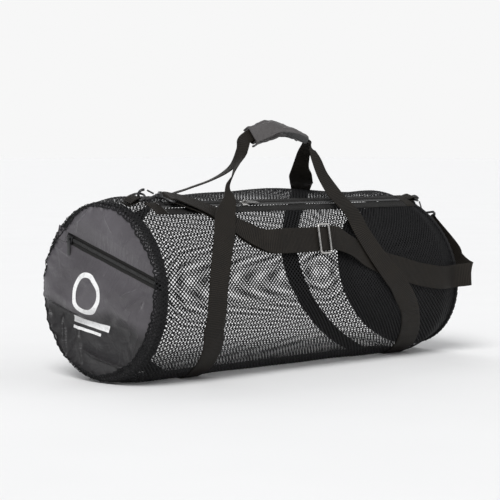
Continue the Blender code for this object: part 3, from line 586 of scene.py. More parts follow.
def make_lights():
    make_light("key", (-1.9, -1.3, 2.3), 2.5, 30)
    make_light("fill", (1.9, -2.2, 1.4), 0.6, 60)
    make_light("rim", (0.9, 2.4, 2.0), 0.7, 50)
    world = bpy.data.worlds.new("studio")
    world.use_nodes = True
    tree = world.node_tree
    backdrop = tree.nodes["Background"]
    backdrop.inputs["Color"].default_value = (0.93, 0.93, 0.93, 1)
    glow = tree.nodes.new("ShaderNodeBackground")
    glow.inputs["Color"].default_value = (0.93, 0.94, 0.96, 1)
    glow.inputs["Strength"].default_value = 0.36
    seen = tree.nodes.new("ShaderNodeLightPath")
    either = tree.nodes.new("ShaderNodeMixShader")
    tree.links.new(seen.outputs["Is Camera Ray"], either.inputs[0])
    tree.links.new(glow.outputs[0], either.inputs[1])
    tree.links.new(backdrop.outputs[0], either.inputs[2])
    tree.links.new(either.outputs[0], tree.nodes["World Output"].inputs["Surface"])
    bpy.context.scene.world = world
    bpy.context.scene.view_settings.view_transform = "Standard"


# ---------------------------------------------------------------- knit
CORNER = 0.0060  # radius of the mesh's turn over the pocket end's seam
RIM_LIFT = 0.0022  # of the mesh's rim over the pocket's cloth


def rim_width(angle):
    """How far in from the seam the mesh covers the pocket: most at the front, lower front and upper rear."""
    upper_rear = 0.0135 * np.exp(-((turned(angle + math.radians(44)) / math.radians(26)) ** 2))
    ripple = 0.0010 * np.sin(9 * angle + 1.0) + 0.0006 * np.sin(17 * angle)
    past_zip = 0.0085 * np.exp(-((turned(angle - math.radians(77)) / math.radians(13)) ** 2))
    usual = 0.0080 + 0.0085 * np.cos(angle - math.radians(112)) + upper_rear + ripple
    return np.maximum(usual - past_zip, 0.0010)


def rim_reach(angle):
    """The same, measured along the mesh from where it starts to turn."""
    return rim_width(angle) + CORNER * (math.pi / 2 - 1)


def over_end(x, angle, lift=0.0):
    """Like on_skin, but past the pocket end's seam the surface turns in over the pocket."""
    x, angle, lift = np.broadcast_arrays(np.asarray(x, float), angle, lift)
    past = np.clip(POCKET_END[0] - x, 0, rim_reach(angle))
    turn = np.clip(past / CORNER, 0, math.pi / 2)
    inwards = np.clip(past - CORNER * math.pi / 2, 0, None)
    seam_radius = POCKET_END[1] + slack(POCKET_END[0], angle) + lift
    r = seam_radius - CORNER + CORNER * np.cos(turn) - inwards
    y, z = -r * np.sin(angle), np.maximum(AXIS_HEIGHT + r * np.cos(angle), SKIN_FLOOR - lift)
    on_cloth = ease((POCKET_END[1] - rim_width(angle) + 0.005 - np.hypot(y, z - AXIS_HEIGHT)) / 0.006)
    height = np.maximum(pocket_puff(*across_zip(y, z - AXIS_HEIGHT)), -0.0005) * on_cloth
    gathers = 0.0007 * np.sin(74 * angle + 3 * np.sin(6 * angle)) * ease(inwards / 0.004)
    face = POCKET_END[0] - PANEL_PROUD - PANEL - (height + RIM_LIFT + gathers + lift)
    side = POCKET_END[0] - (CORNER + lift) * np.sin(turn)
    blend = ease(turn / (math.pi / 2))
    ended = np.stack([side + (face - side) * blend, y, z], axis=-1) + SHIFT_ROW
    return np.where((past > 0)[..., None], ended, on_skin(np.maximum(x, POCKET_END[0]), angle, lift))


HOLE = 0.0077  # from one hole to the next along the bag; the rows between are offset by half of this
HOLES_ROUND = 126
HOLE_RADIUS = 0.00218
PAST_ZIP = 0.008  # how far the main zip's slot in the mesh goes past each end of the zip


def knit_cells(first, last):
    """Cell centres, in quarter holes, of the knit between two columns, leaving out the zip's slot."""
    column, ring = np.meshgrid(np.arange(first, last), np.arange(2 * HOLES_ROUND), indexing="ij")
    column, ring = column.ravel(), ring.ravel()
    keep = (column + ring) % 2 == 0
    column, ring = column[keep], ring[keep]
    x = column * HOLE / 2
    off_zip = np.abs(turned(ring * math.pi / HOLES_ROUND - ZIP_ROLL)) * RADIUS
    slot = (off_zip < MAIN_ZIP_SLOT) & (x > MAIN_ZIP[0] - PAST_ZIP) & (x < MAIN_ZIP[1] + PAST_ZIP)
    past = POCKET_END[0] - x - rim_reach(ring * math.pi / HOLES_ROUND)
    bare = slot | (past > 0.45 * HOLE)
    return column[~bare] * 2, ring[~bare] * 2


def make_knit(name, first, last):
    """A stretch of the mesh: round holes on a diamond grid. The yarn round each hole swells from the hole's
    edge to the strands between the holes, and to the knots where four cells meet.
    """
    column, ring = knit_cells(first, last)
    turns = np.arange(8) * math.pi / 4
    steps = np.array([(2, 0), (1, 1), (0, 2), (-1, 1), (-2, 0), (-1, -1), (0, -2), (1, -1)])
    around = 4 * HOLES_ROUND
    corner_u = column[:, None] + steps[None, :, 0]
    corner_v = (ring[:, None] + steps[None, :, 1]) % around
    keys, index = np.unique(corner_u * around + corner_v, return_inverse=True)
    index = index.reshape(corner_u.shape)
    strand_u, strand_v = keys // around, keys % around
    knot = (strand_u % 2 == 0).astype(float)
    angle_unit = math.pi / (2 * HOLES_ROUND)
    strand_x = np.minimum(strand_u * HOLE / 4, FAR_END[0])
    strands = over_end(strand_x, strand_v * angle_unit, 0.0001 + 0.0003 * knot)
    hole_x = column[:, None] * HOLE / 4 + HOLE_RADIUS * np.cos(turns)
    hole_angle = ring[:, None] * angle_unit + HOLE_RADIUS * np.sin(turns) / RADIUS
    holes = over_end(np.minimum(hole_x, FAR_END[0]), hole_angle, -0.0004)
    count = len(keys)
    inner = count + np.arange(holes.shape[0] * 8).reshape(-1, 8)
    after = np.roll(index, -1, axis=1), np.roll(inner, -1, axis=1)
    faces = np.stack([index, after[0], after[1], inner], -1).reshape(-1, 4)
    points = np.concatenate([strands, holes.reshape(-1, 3)])
    return add(name, points, faces, "knit", "mesh", "bag")


LONGEST_RIM = 0.045  # more than the mesh ever reaches past the pocket end's seam


def make_mesh():
    unit = HOLE / 2
    first, last = math.ceil(POCKET_END[0] / unit), math.floor(FAR_END[0] / unit) + 1
    columns = last - first
    rim = math.ceil(LONGEST_RIM / unit)
    cuts = [first - rim, first, first + columns // 3, first + 2 * columns // 3, last]
    names = ("knit_pocket_rim", "knit_near_pocket", "knit_middle", "knit_far")
    pieces = [make_knit(name, a, b) for name, a, b in zip(names, cuts, cuts[1:])]
    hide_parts("pocket_end_binding")
    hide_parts("mesh_body")


def make_hems():
    """The knit is turned in at each end seam: a strip of close cloth just under it."""
    angles = np.arange(240)[None, :] * 2 * math.pi / 240
    strips = {
        "pocket_end_hem": POCKET_END[0] + 0.009 - 0.012 * np.linspace(0, 1, 22),
        "far_end_hem": np.linspace(FAR_END[0] - 0.014, FAR_END[0], 7),
    }
    for name, xs in strips.items():
        points = over_end(xs[:, None], angles, -0.0012)
        faces = grid_faces(*points.shape[:2], wrap=True)
        along = np.repeat(angles * RADIUS, len(xs), axis=0)
        add(name, points, faces, "binding", "binding", "bag", along=along, across=along * 0)


# ---------------------------------------------------------------- end panels
def waves(u, v, seed, scale, count=6):
    """Soft irregular waves from -1 to 1, the same each run."""
    chosen = np.random.default_rng(seed)
    total = np.zeros(np.broadcast(u, v).shape)
    for _ in range(count):
        turn = chosen.uniform(0, math.pi)
        pitch = scale * chosen.uniform(0.6, 1.7)
        phase = chosen.uniform(0, 6.3)
        total = total + np.sin((u * math.cos(turn) + v * math.sin(turn)) / pitch * 2 * math.pi + phase)
    return total / count**0.5 / 1.4


def seam_puckers(theta, edge, seed):
    """Gathers that fade with the distance in from a seam."""
    beat = np.sin(31 * theta + 3 * np.sin(4 * theta + seed))
    beat = beat + 0.6 * np.sin(53 * theta + 2 * np.sin(7 * theta))
    reach = 0.0075 + 0.0045 * np.sin(5 * theta + seed)
    return 0.0016 * beat * np.exp(-np.clip(edge, 0, None) / reach) * ease(edge / 0.002 + 0.3)


def crease(u, v, start, end, depth, width):
    """A fold along the line from start to end: a ridge with a sharp side, fading at both ends."""
    a, b = np.array(start), np.array(end)
    run = b - a
    length = np.hypot(*run)
    along = ((u - a[0]) * run[0] + (v - a[1]) * run[1]) / length**2
    off = ((u - a[0]) * -run[1] + (v - a[1]) * run[0]) / length
    fade = ease(along / 0.3) * ease((1 - along) / 0.3)
    steep = np.where(off > 0, width, width * 0.35)
    return depth * fade * np.exp(-np.abs(off) / steep)


def across_zip(y, z):
    """Where a point beside the bag's axis lies along and across the pocket's zip."""
    c, s = math.cos(END_ROLL), math.sin(END_ROLL)
    return -c * y - s * z, -s * y + c * z


def front_and_up(u, v):
    """How far a point along and across the pocket's zip lies towards the front and up."""
    c, s = math.cos(END_ROLL), math.sin(END_ROLL)
    return v * s + u * c, v * c - u * s


PANEL_INSET = 0.0015  # of a panel's edge, in from the end seam
INNER_WALL = 0.0092  # of the pocket, in from the end seam
LIP = 0.0086  # from the pocket zip's middle to the edge of the cloth
# Folds of the pocket's front: from one point to another (towards the front, up), depth, width.
POCKET_FOLDS = [
    ((-0.014, 0.142), (-0.066, 0.086), 0.0040, 0.012),
    ((-0.096, 0.100), (-0.030, 0.116), 0.0026, 0.007),
    ((-0.116, 0.072), (-0.060, 0.052), 0.0026, 0.007),
    ((0.010, 0.132), (0.048, 0.090), 0.0020, 0.010),
    ((-0.160, -0.008), (-0.020, -0.046), 0.0056, 0.012),
    ((-0.122, -0.118), (-0.136, -0.020), 0.0056, 0.009),
    ((-0.084, -0.140), (-0.104, -0.036), 0.0060, 0.008),
    ((-0.046, -0.150), (-0.066, -0.050), 0.0036, 0.008),
    ((0.092, -0.126), (-0.060, -0.096), 0.0085, 0.007),
    ((0.112, -0.004), (0.094, -0.092), 0.0066, 0.006),
    ((0.094, -0.016), (0.060, -0.090), 0.0042, 0.006),
    ((0.100, -0.050), (0.066, -0.140), 0.0062, 0.006),
    ((0.124, 0.020), (0.058, -0.006), 0.0034, 0.006),
    ((0.120, 0.004), (0.070, -0.028), 0.0030, 0.005),
    ((0.112, 0.066), (0.070, 0.030), 0.0024, 0.005),
    ((0.090, 0.096), (0.050, 0.066), 0.0018, 0.006),
]


def tucked(front, up):
    """How far the pocket's slack cloth has dropped in, from 0 above to 1 at the bottom."""
    level = -0.016 - 0.14 * (front + 0.05) + 0.005 * np.sin(45 * front)
    return ease((level - up) / 0.036)


def pocket_puff(u, v):
    """How far the pocket's front stands out, at u along its zip towards the front and v up across it."""
    front, up = front_and_up(u, v)
    angle = np.arctan2(front, up)
    inner = POCKET_END[1] - rim_width(angle)
    rho = np.hypot(u, v)
    dome = np.clip(1 - (rho / inner) ** 2, 0, 1) ** 0.55
    off_zip = np.clip(np.abs(v - POCKET_ZIP_HEIGHT) - LIP, 0, None)
    free = 1 - np.exp(-((off_zip / 0.018) ** 2))
    puff = 0.0125 * dome * (1 - 1.7 * tucked(front, up))
    puff = puff + (0.0020 * waves(u, v, 4, 0.060) + 0.0011 * waves(u, v, 9, 0.026)) * dome
    for start, end, depth, width in POCKET_FOLDS:
        puff = puff + 2.2 * crease(front, up, start, end, depth, width) * (0.3 + 0.7 * dome)
    gathers = np.sin(2 * math.pi * u / 0.0105 + 2.0 * waves(u, v, 12, 0.05))
    gathers = gathers + 0.5 * np.sin(2 * math.pi * u / 0.0063)
    depth = 0.0009 * np.exp(-off_zip / 0.012) * ease(off_zip / 0.004) * ease((u + 0.06) / 0.06)
    lip = 0.0030 * np.exp(-((off_zip / 0.012) ** 2)) - 0.0012 * np.exp(-off_zip / 0.0008)
    within = ease((u - POCKET_ZIP[0]) / 0.01 + 1) * ease((POCKET_ZIP[1] - u) / 0.01 + 1)
    sunk = 0.0045 * ease((rho - inner) / 0.004)
    return puff * free + gathers * depth + lip * within + seam_puckers(angle, inner - rho, 1.0) - sunk


def pocket_matrix(outward=0.0):
    """Local X along the pocket zip, Y up across it, Z out of the bag, and the origin on the bag's axis."""
    x = POCKET_END[0] - PANEL_PROUD - PANEL - outward
    return axes(Vector((x, 0, AXIS_HEIGHT)) + SHIFT, down_round(END_ROLL), (-1, 0, 0))


def to_frame(matrix, u, v, w):
    """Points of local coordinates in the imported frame."""
    turn = np.array(matrix.to_3x3())
    points = np.stack(np.broadcast_arrays(u, v, w), -1) @ turn.T
    return points + np.array(matrix.translation)


def panel_piece(name, u, v, height, matrix, mat, node_name, floor=0.0045, shade=0.0):
    """A sheet of cloth at height over the grid of u and v, kept above the floor, with its share of painted
    shade at each point.
    """
    points = to_frame(matrix, u, v, height)
    points[..., 2] = np.maximum(points[..., 2], floor)
    rows, columns = u.shape
    shade = np.broadcast_to(shade, u.shape)
    piece = add(name, points, grid_faces(rows, columns), mat, "nylon", "bag", shade=shade)
    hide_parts(node_name)
    return piece


def front_cloth(name, u, v, node_name):
    """One half of the pocket's front, darkened by painted shade where it has dropped in and where it goes
    under the mesh.
    """
    front, up = front_and_up(u, v)
    height = pocket_puff(u, v)
    hidden = np.hypot(u, v) - (POCKET_END[1] - rim_width(np.arctan2(front, up)))
    # painted shade: darker where the cloth has dropped in and under the mesh's rim
    shade = np.maximum(0.9 * tucked(front, up), 0.8 * ease(hidden / 0.003))
    panel_piece(name, u, v, height - 0.0006, pocket_matrix(), "nylon", node_name, shade=shade)


def make_pocket():
    radius = POCKET_END[1] - PANEL_INSET
    below, above = POCKET_ZIP_HEIGHT - LIP, POCKET_ZIP_HEIGHT + LIP
    phi = np.linspace(-math.pi / 2, math.pi / 2, 300)[None, :]
    share = np.linspace(0, 1, 220)[:, None]
    u = radius * np.sin(phi) + 0 * share
    edge = radius * np.cos(phi)
    top = np.minimum(below, edge)
    front_cloth("pocket_front_lower_cloth", u, top + (-edge - top) * share, "pocket_front_lower")
    reach = math.sqrt(radius**2 - above**2)
    share = np.linspace(0, 1, 120)[:, None]
    u = reach * np.sin(phi) + 0 * share
    edge = np.sqrt(radius**2 - u**2)
    front_cloth("pocket_front_upper_cloth", u, above + (edge - above) * share, "pocket_front_upper")
    # the inner wall of the pocket, seen through the mesh, darkened all over by painted shade
    middle = Vector((POCKET_END[0] + INNER_WALL, 0, AXIS_HEIGHT)) + SHIFT
    inner = axes(middle, down_round(END_ROLL), (1, 0, 0))
    u = (radius - 0.002) * np.sin(phi) + 0 * share
    v = (radius - 0.002) * np.cos(phi) * (1 - 2 * share)
    height = 0.004 * np.clip(1 - (u**2 + v**2) / radius**2, 0, 1) + 0.0012 * waves(u, v, 21, 0.06)
    height = height + seam_puckers(np.arctan2(v, u), radius - np.hypot(u, v), 3.0)
    panel_piece("pocket_inner_cloth", u, v, height, inner, "nylon", "pocket_back_panel", shade=0.5)


def make_pocket_seam():
    """The gathered edge of the pocket's cloth, where it is sewn to the mesh's rim."""
    angle = np.arange(720) * 2 * math.pi / 720
    middle = over_end(POCKET_END[0] - rim_reach(angle), angle, -0.0002)
    pucker = 1 + 0.16 * np.sin(88 * angle + 3 * np.sin(7 * angle)) + 0.10 * np.sin(161 * angle)
    t = np.arange(10) * 2 * math.pi / 10
    inwards = np.stack([0 * angle, np.sin(angle), -np.cos(angle)], -1)
    deep = (0.0010 * pucker)[:, None, None] * np.cos(t)[None, :, None] * np.array([-1.0, 0, 0])
    wide = (0.0011 * pucker)[:, None, None] * np.sin(t)[None, :, None] * inwards[:, None]
    points = middle[:, None] + deep + wide
    points[..., 2] = np.maximum(points[..., 2], 0.0012)
    faces = grid_faces(len(angle) + 1, 10, wrap=True) % (len(angle) * 10)
    add("pocket_seam", points, faces, "binding", "binding", "bag")


FAR_FOLDS = [
    ((-0.100, 0.075), (0.060, 0.030), 0.0040, 0.009),
    ((-0.060, 0.118), (0.110, 0.050), 0.0034, 0.007),
    ((-0.120, 0.010), (-0.010, -0.060), 0.0030, 0.007),
    ((0.020, -0.020), (0.120, -0.050), 0.0028, 0.007),
]


def make_far_panel():
    radius = FAR_END[1] - PANEL_INSET
    middle = Vector((FAR_END[0] + PANEL_PROUD, 0, AXIS_HEIGHT)) + SHIFT
    matrix = axes(middle, (0, 1, 0), (1, 0, FAR_LEAN))
    phi = np.linspace(-math.pi / 2, math.pi / 2, 240)[None, :]
    share = np.linspace(0, 1, 200)[:, None]
    u = radius * np.sin(phi) + 0 * share
    v = radius * np.cos(phi) * (1 - 2 * share)
    rho = np.hypot(u, v) / radius
    dome = np.clip(1 - rho**2, 0, 1)
    height = 0.008 * dome * (1 - 0.9 * ease((v + 0.02) / 0.09))
    height = height + 0.0016 * waves(u, v, 33, 0.07) * dome
    for start, end, depth, width in FAR_FOLDS:
        height = height + crease(u, v, start, end, depth, width) * dome
    height = height + seam_puckers(np.arctan2(v, u), radius - np.hypot(u, v), 2.0) - 0.001
    # the far end's cloth colour is painted shade
    panel_piece("far_end_cloth", u, v, height, matrix, "black_nylon_painted_shade", "far_end_panel", 0.007)


def make_far_binding():
    """The tape that binds the far end's seam: a soft flat roll, puckered by its stitches."""
    sides = 14
    radius = FAR_END[1] - 0.0005
    a = np.arange(520)[:, None] * 2 * math.pi / 520
    t = np.arange(sides)[None, :] * 2 * math.pi / sides
    z = np.maximum(AXIS_HEIGHT + radius * np.cos(a), 0.0038)
    x = FAR_END[0] + 0.0034 + FAR_LEAN * (AXIS_HEIGHT - z)
    pucker = 0.0003 * (np.sin(72 * a + 2 * np.sin(5 * a)) + np.sin(131 * a))
    deep = (0.0032 + pucker) * np.cos(t)
    tall = (0.0030 + pucker) * np.sin(t)
    points = np.stack([x + deep, -(radius + tall) * np.sin(a), z + tall * np.cos(a)], -1) + SHIFT_ROW
    points[..., 2] = np.maximum(points[..., 2], 0.0006)
    faces = grid_faces(len(a) + 1, sides, wrap=True) % (len(a) * sides)
    spread = {"along": a * FAR_END[1] + 0 * t, "across": t * 0.003 + 0 * a}
    piece = add("far_end_binding_tape", points, faces, "binding", "binding", "bag", **spread)
    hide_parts("far_end_binding")


MARK_AT = (-0.018, -0.034)  # the printed mark's middle, along and across the pocket's zip
MARK_TILT = math.radians(8)
MARK_RING = (0.0265, 0.0350)
MARK_BARS = ((-0.044, 0.044, -0.033, -0.022), (-0.044, 0.026, -0.0435, -0.0385))


def make_print():
    """A plain printed mark on the pocket: a ring over two bars, on the cloth's own surface."""
    matrix = pocket_matrix()
    c, s = math.cos(MARK_TILT), math.sin(MARK_TILT)
    points, faces = [], []

    def patch(u, v):
        base = len(points)
        turned_u = u * c - v * s + MARK_AT[0]
        turned_v = u * s + v * c + MARK_AT[1]
        placed = to_frame(matrix, turned_u, turned_v, pocket_puff(turned_u, turned_v) - 0.0002)
        points.extend(placed.reshape(-1, 3).tolist())
        faces.extend(grid_faces(*u.shape, base=base).tolist())

    turn = np.linspace(0, 2 * math.pi, 121)[None, :]
    ring = np.linspace(*MARK_RING, 7)[:, None]
    patch(ring * np.cos(turn), ring * np.sin(turn) + 0.024)
    for start, end, bottom, top in MARK_BARS:
        patch(*np.meshgrid(np.linspace(start, end, 40), np.linspace(bottom, top, 6)))
    add("plain_print", points, faces, "print", "nylon", "bag")


# ---------------------------------------------------------------- zips
def zip_tapes(name, matrix, start, end, inner, outer, drop, nodes):
    """Two woven tapes, each with a folded edge. drop(v) is how far the surface falls away across the zip."""
    us = np.linspace(start, end, max(8, round((end - start) / 0.004)))
    v = [inner, inner + 0.0006, 0.0066, 0.0074, 0.0084, 0.0096, outer - 0.003, outer - 0.0008, outer, outer]
    v = np.array(v)
    lift = np.array([0.0, 0.0003, 0.0003, 0.0009, 0.0014, 0.0012, 0.0010, 0.0009, 0.0003, -0.0005])
    for side, node_name in zip((1, -1), nodes):
        wave = 0.00025 * np.sin(us / 0.013 + side) + 0.0002 * np.sin(us / 0.0057)
        u_grid = us[:, None] + 0 * v
        v_grid = side * (v + wave[:, None] * (v > 0.008))
        w_grid = lift + wave[:, None] * 0.5 * (v > 0.008) - drop(v)
        points = to_frame(matrix, u_grid, v_grid, w_grid)
        faces = grid_faces(len(us), len(v))
        tape = f"{name}_{node_name.split('_')[-1]}"
        spread = {"along": u_grid, "across": v_grid}
        piece = add(tape, points, faces, "zip_tape", "zip_tape", "bag", **spread)
        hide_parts(node_name)
        runs = []
        for at in (0.0092, outer - 0.0022):
            height = np.interp(at, v, lift) - drop(at) + 0.0001
            line = to_frame(matrix, us, np.full(len(us), side * at), np.full(len(us), height))
            runs.append([(p, matrix.col[2][:3]) for p in line])
        stitch_row(f"{tape}_stitches", runs, "bag", CLOSE_STITCHES)


def coil(name, matrix, start, end, node_name, pitch=0.0013):
    """Closed coil teeth: short rounded bars across the zip, leaning one way and the other in turn."""
    points, faces = [], []
    turns = np.arange(6) * math.pi / 3
    profile = [(-1.0, 0.35), (-0.8, 1.0), (0.8, 1.0), (1.0, 0.35)]
    for k, at in enumerate(np.arange(start, end, pitch)):
        lean = 0.00028 if k % 2 else -0.00028
        base = len(points)
        for s, size in profile:
            for t in turns:
                u = at + lean * s + 0.00052 * size * math.cos(t)
                points.append((u, 0.0029 * s, 0.0011 + 0.0010 * size * math.sin(t)))
        for ring in range(3):
            for n in range(6):
                after = (n + 1) % 6
                here, there = base + 6 * ring, base + 6 * (ring + 1)
                faces.append((here + n, here + after, there + after, there + n))
        faces.append([base + n for n in range(6)][::-1])
        faces.append([base + 18 + n for n in range(6)])
    local = np.array(points)
    placed = to_frame(matrix, local[:, 0], local[:, 1], local[:, 2])
    piece = add(name, placed, faces, "zip_coil", "zip_coil", "bag")
    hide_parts(node_name)


def patch_piece(name, matrix, low_corner, high_corner, drop, mat, slot, node_name=None):
    """A small sewn patch: crowned cloth with a turned edge and a row of stitches."""
    us = np.linspace(low_corner[0], high_corner[0], 14)[:, None]
    vs = np.linspace(low_corner[1], high_corner[1], 18)[None, :]
    edge = np.minimum(np.minimum(us - us.min(), us.max() - us), np.minimum(vs - vs.min(), vs.max() - vs))
    lift = 0.0002 + 0.0015 * ease(edge / 0.0012) - 0.0003 * np.exp(-(((edge - 0.0028) / 0.0008) ** 2))
    points = to_frame(matrix, us, vs, lift - drop(vs))
    spread = {"along": us + 0 * vs, "across": vs + 0 * us}
    piece = add(name, points, grid_faces(14, 18), mat, slot, "bag", **spread)
    if node_name:
        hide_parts(node_name)
    inset = 0.0028
    u0, u1 = low_corner[0] + inset, high_corner[0] - inset
    v0, v1 = low_corner[1] + inset, high_corner[1] - inset
    loop = [(u0, v0), (u1, v0), (u1, v1), (u0, v1), (u0, v0)]
    run = []
    for (ua, va), (ub, vb) in zip(loop, loop[1:]):
        for t in np.linspace(0, 1, 12):
            u, v = ua + (ub - ua) * t, va + (vb - va) * t
            run.append((to_frame(matrix, u, v, 0.0016 - drop(v)), matrix.col[2][:3]))
    stitch_row(f"{name}_stitches", [run], "bag", CLOSE_STITCHES)


def round_drop(v):
    """How far the round bag falls away beside the main zip."""
    return np.asarray(v) ** 2 / (2 * RADIUS) + 0.0004 * ease((np.abs(v) - 0.016) / 0.003)


def flat_drop(v):
    return 0 * np.asarray(v)


def sunk_drop(v):
    return 0 * np.asarray(v) + 0.0022


PATCH_PAST = 0.012  # from an end of the main zip out to the middle of its patch
PATCH_HALF = 0.013  # half the patch's length


def make_zips():
    on_top = AXIS_HEIGHT + RADIUS * math.cos(ZIP_ROLL)
    main = axes((SHIFT.x, SHIFT.y - RADIUS * math.sin(ZIP_ROLL), on_top), X_AXIS, out_of_bag(ZIP_ROLL))
    tapes = ("main_zip_tape_rear", "main_zip_tape_front")
    zip_tapes("main_zip_tape", main, *MAIN_ZIP, COIL_EDGE, MAIN_TAPES, round_drop, tapes)
    coil("main_zip_teeth", main, *MAIN_ZIP, "main_zip_chain")
    for side, x in (("left", MAIN_ZIP[0] - PATCH_PAST), ("right", MAIN_ZIP[1] + PATCH_PAST)):
        patch_piece(
            f"main_zip_patch_{side}", main, (x - PATCH_HALF, -MAIN_TAPES), (x + PATCH_HALF, MAIN_TAPES),
            round_drop, "webbing", "webbing", f"main_zip_end_patch_{side}",
        )
    across = pocket_matrix() @ Matrix.Translation((0, POCKET_ZIP_HEIGHT, 0))
    tapes = ("pocket_zip_tape_upper", "pocket_zip_tape_lower")
    zip_tapes("pocket_zip_tape", across, *POCKET_ZIP, COIL_EDGE, POCKET_TAPES, flat_drop, tapes)
    coil("pocket_zip_teeth", across, *POCKET_ZIP, "pocket_zip_chain")
    start = POCKET_ZIP[0] - 0.0008
    patch_piece(
        "pocket_zip_patch", across, (start - 0.026, -POCKET_PATCH), (start, POCKET_PATCH), flat_drop,
        "nylon", "nylon", "pocket_zip_end_patch",
    )
    end = POCKET_ZIP[1] - 0.003
    patch_piece(
        "pocket_zip_stop", across, (end, -POCKET_PATCH), (end + 0.0075, POCKET_PATCH), sunk_drop,
        "binding", "binding",
    )


# ---------------------------------------------------------------- webbing bands and handles
GRIP = [
    free_row((-0.082, -0.030, 0.401), (-0.25, 0.40, 0.88)),
    free_row((-0.045, -0.030, 0.411), (-0.12, 0.52, 0.84)),
    free_row((-0.010, -0.031, 0.418), (0.06, 0.80, 0.60)),
    free_row((0.030, -0.033, 0.411), (0.15, 0.88, 0.30)),
    free_row((0.066, -0.037, 0.396), (0.28, 0.94, 0.12)),
]
GRIP_SPLIT = 0.0026  # each webbing's distance from the grip's middle
FOLDED_WIDTH = 0.021
LEFT_SPREAD = 0.075  # how far from the grip the left legs start to open out, and over what length
RIGHT_SPREAD = 0.030  # the length over which the right legs open out
CUT_LENGTH = 0.050  # the length near a root over which a handle's width turns to lie along X


def in_grip(side):
    """A handle's rows inside the grip, on one side of its middle."""
    rows = []
    for place, _, across, normal in frames_along(GRIP):
        rows.append(packed_row(place + normal * side * GRIP_SPLIT, across))
    return rows


def front_handle_rows():
    left = [
        skin_row(-0.268, 110.5, 0.0014),
        skin_row(-0.270, 102, 0.0020),
        skin_row(-0.271, 92, 0.0028),
        skin_row(-0.262, 76, 0.0040),
        skin_row(-0.240, 58, 0.0095, -0.05),
        skin_row(-0.211, 43, 0.0160, -0.25),
        skin_row(-0.177, 31, 0.0200, -0.45),
        free_row((-0.151, -0.060, 0.320), (0.78, 0.60, 0.00)),
        free_row((-0.131, -0.049, 0.338), (0.70, 0.70, 0.05)),
        free_row((-0.114, -0.042, 0.356), (0.50, 0.78, 0.20)),
        free_row((-0.098, -0.037, 0.376), (0.12, 0.75, 0.50)),
    ]
    right = [
        free_row((0.0710, -0.046, 0.380), (0.72, 0.40, 0.32)),
        free_row((0.0740, -0.054, 0.362), (0.86, 0.10, 0.30)),
        free_row((0.080, -0.064, 0.335), (0.90, 0.10, 0.18)),
        free_row((0.092, -0.084, 0.301), (0.95, 0.10, 0.10)),
        skin_row(0.099, 43, 0.0150),
        skin_row(0.103, 57, 0.0100),
        skin_row(0.122, 71, 0.0070),
        skin_row(0.148, 83, 0.0065),
        skin_row(0.172, 91, 0.0058),
        skin_row(0.190, 98, 0.0040),
        skin_row(0.207, 104, 0.0025),
        skin_row(0.222, 110.5, 0.0014),
    ]
    return left + in_grip(1) + right


def rear_handle_rows():
    left = [
        skin_row(-0.225, -65.5, 0.0014),
        skin_row(-0.218, -57, 0.0035),
        skin_row(-0.200, -46, 0.0110),
        free_row((-0.166, 0.088, 0.298), (0.72, 0.68, 0.10)),
        free_row((-0.131, 0.063, 0.314), (0.70, 0.70, 0.10)),
        free_row((-0.101, 0.033, 0.330), (0.68, 0.72, 0.12)),
        free_row((-0.086, 0.004, 0.350), (0.50, 0.75, 0.30)),
        free_row((-0.086, -0.019, 0.376), (0.12, 0.72, 0.55)),
    ]
    right = [
        free_row((0.074, -0.020, 0.370), (-0.60, 0.76, -0.08)),
        free_row((0.084, -0.004, 0.345), (-0.80, 0.58, 0.00)),
        free_row((0.110, 0.018, 0.325), (-0.80, 0.60, 0.00)),
        skin_row(0.142, -16, 0.0100),
        skin_row(0.168, -30, 0.0075),
        skin_row(0.186, -44, 0.0045),
        skin_row(0.198, -56, 0.0025),
        skin_row(0.204, -65.5, 0.0014),
    ]
    return left + in_grip(-1) + right


def handle_width(x):
    """Full width on the legs, and folded at the grip. The left legs open out lower down."""
    opened = ease((GRIP[0][0] - x - LEFT_SPREAD) / LEFT_SPREAD) + ease((x - GRIP[-1][0]) / RIGHT_SPREAD)
    return FOLDED_WIDTH + (WEBBING_WIDTH - FOLDED_WIDTH) * float(opened)


def handle_sections(rows):
    """The free arch of a handle. Near each end its width turns to lie along X, as the band's does."""
    frames = frames_along(smooth_run(rows, FINE))
    length = run_length([f[0] for f in frames])
    flattened = []
    for (place, tangent, across, normal), at in zip(frames, length):
        from_end = min(at, length[-1] - at)
        if from_end < CUT_LENGTH:
            along_x = X_AXIS * math.copysign(1, across.x)
            across = across.lerp(along_x / along_x.dot(across), 1 - from_end / CUT_LENGTH)
        flattened.append((place, tangent, across, normal))
    widths = [handle_width(f[0].x) for f in flattened]
    return strap_sections(flattened, widths)


def band_sections(root, bottom, root_x, bottom_x):
    """A band sewn to the mesh, from a handle's root round to the middle of the underside."""
    count = round(abs(bottom - root) * RADIUS / FINE)
    t = np.linspace(0, 1, count)
    angle = root + (bottom - root) * t
    slope = 2 * (bottom_x - root_x) / (abs(bottom - root) * RADIUS)
    x = root_x + (bottom_x - root_x) * t * (2 - t)
    half = WEBBING_WIDTH / 2 * np.hypot(1, slope * (1 - t))
    across = x[:, None] + half[:, None] * STRAP_PROFILE[None, :, 0]
    thickness = ribbed(t * abs(bottom - root) * RADIUS)[:, None]
    return on_skin(across, angle[:, None] + 0 * across, ON_SKIN + thickness / 2 * STRAP_PROFILE[None, :, 1])


BANDS = {
    "front": ((FRONT_ROOT, math.pi, -0.268, -0.228), (FRONT_ROOT, math.pi, 0.226, 0.283)),
    "rear": ((REAR_ROOT, -math.pi, -0.225, -0.228), (REAR_ROOT, -math.pi, 0.205, 0.283)),
}


def same_way(sections, after):
    """Reorders the points of a run's sections so that its last section meets the next run's first."""
    count = len(STRAP_PROFILE)
    options = [sections] + [np.roll(sections[:, ::-1], k, axis=1) for k in range(count)]
    options.append(np.roll(sections, count // 2, axis=1))
    return min(options, key=lambda s: float(np.linalg.norm(s[-1] - after[0], axis=1).sum()))


